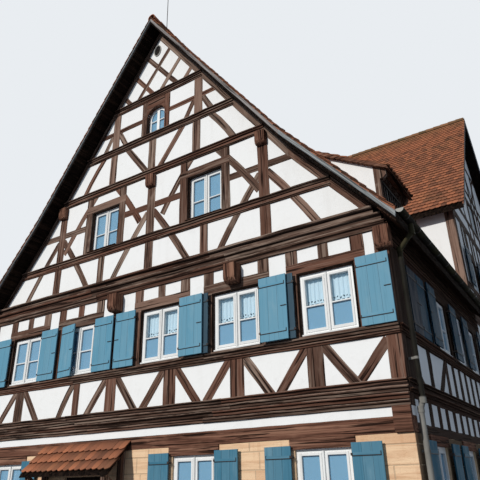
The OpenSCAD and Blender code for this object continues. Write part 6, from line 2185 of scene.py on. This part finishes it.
def camera_basis(yaw, pitch, roll):
    """Right, up and forward of a camera that looks along Y, turned by yaw, pitch and roll."""
    yaw, pitch, roll = np.radians([yaw, pitch, roll])
    forward = np.array([np.sin(yaw) * np.cos(pitch), np.cos(yaw) * np.cos(pitch), np.sin(pitch)])
    right = np.array([np.cos(yaw), -np.sin(yaw), 0])
    up = np.cross(right, forward)
    turned = right * np.cos(roll) + up * np.sin(roll), up * np.cos(roll) - right * np.sin(roll)
    return (*turned, forward)


class HouseStage(bpy.types.Operator):
    """Makes the floor, the light and the camera"""

    bl_idname = "house.stage"
    bl_label = "Stage"

    def execute(self, context):
        scene, settings = context.scene, context.scene.house_stage
        scene.view_settings.view_transform = "Standard"
        self.floor(settings)
        scene.world = self.world(settings)
        for name, strength, width, tint, way in (
            ("Key", settings.sun, 3, (1.0, 0.96, 0.9), (0.27, 1.0, -0.57)),
            ("Back light", settings.fill, 20, (0.94, 0.97, 1.0), (0.0, -1.0, -0.6)),
        ):
            lamp = bpy.data.lights.new(name, "SUN")
            lamp.energy, lamp.angle, lamp.color = strength, np.radians(width), tint
            holder = link_object(name, lamp)
            holder.rotation_mode = "QUATERNION"
            holder.rotation_quaternion = Vector(way).to_track_quat("-Z", "Y")
        camera = bpy.data.cameras.new("Camera")
        camera.lens, camera.sensor_width, camera.clip_end = CAMERA_LENS, 36, 500
        view = link_object("Camera", camera)
        right, up, forward = camera_basis(*CAMERA_TURN)
        turn = Matrix([[right[i], up[i], -forward[i]] for i in range(3)])
        view.matrix_world = Matrix.Translation(CAMERA_AT) @ turn.to_4x4()
        scene.camera = view
        return {"FINISHED"}

    def floor(self, settings):
        """A pale floor, darker in the light that it throws back than where it is seen."""
        mesh = bpy.data.meshes.new("floor")
        corners = [(-1, -1), (1, -1), (1, 1), (-1, 1)]
        corners = [(x * FLOOR_REACH, y * FLOOR_REACH, -0.002) for x, y in corners]
        mesh.from_pydata(corners, [], [(0, 1, 2, 3)])
        floor = link_object("floor", mesh)
        m = Finish("Floor", 0.9)
        seen = m.mixed(m.noise(m.where, 0.4, 3.0, 0.5), settings.floor, shade(settings.floor, 0.97))
        base = m.mixed(m.seen_or_mirrored(), settings.bounce, seen)
        m.set(m.shader, {"Base Color": base})
        mesh.materials.append(m.material)

    def world(self, settings):
        """An even light from all round, and a backdrop where the camera or a mirror sees it."""
        world = bpy.data.worlds.new("Studio")
        world.use_nodes = True
        world.node_tree.nodes.clear()
        n = Nodes(world.node_tree)
        even = {"Color": SKY_TINT, "Strength": settings.sky}
        even = n.add("ShaderNodeBackground", even)[0]
        back = n.add("ShaderNodeBackground", {"Color": settings.backdrop, "Strength": 1.0})[0]
        mix = n.add("ShaderNodeMixShader", {0: n.seen_or_mirrored(), 1: even, 2: back})[0]
        n.add("ShaderNodeOutputWorld", {0: mix})
        return world


OPERATORS = [
    HouseStage, HouseTimbers, HouseMouldings, HousePlaster, HouseStone, HouseRoofs, HouseVerges,
    HouseDormer, HouseWindows, HouseShutters, HouseEntrance, HouseRainwater,
]


class HousePanel(bpy.types.Panel):
    """Lists the settings and the steps"""

    bl_idname = "VIEW3D_PT_house"
    bl_label = "Half timbered house"
    bl_space_type = "VIEW_3D"
    bl_region_type = "UI"
    bl_category = "House"

    def draw(self, context):
        for name, settings in SETTINGS.items():
            box = self.layout.box()
            for key in settings.__annotations__:
                box.prop(getattr(context.scene, name), key)
        for operator in OPERATORS:
            self.layout.operator(operator.bl_idname)


CLASSES = [*SETTINGS.values(), *OPERATORS, HousePanel]


def register():
    """Adds the settings, the operators and the panel."""
    for cls in CLASSES:
        bpy.utils.register_class(cls)
    for name, settings in SETTINGS.items():
        setattr(bpy.types.Scene, name, bpy.props.PointerProperty(type=settings))


def unregister():
    """Takes them away again."""
    for name in SETTINGS:
        delattr(bpy.types.Scene, name)
    for cls in reversed(CLASSES):
        bpy.utils.unregister_class(cls)


def main():
    """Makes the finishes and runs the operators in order."""
    register()
    make_materials(bpy.context.scene)
    for operator in OPERATORS:
        group_name, step_name = operator.bl_idname.split(".")
        getattr(getattr(bpy.ops, group_name), step_name)()


if __name__ == "__main__":
    main()
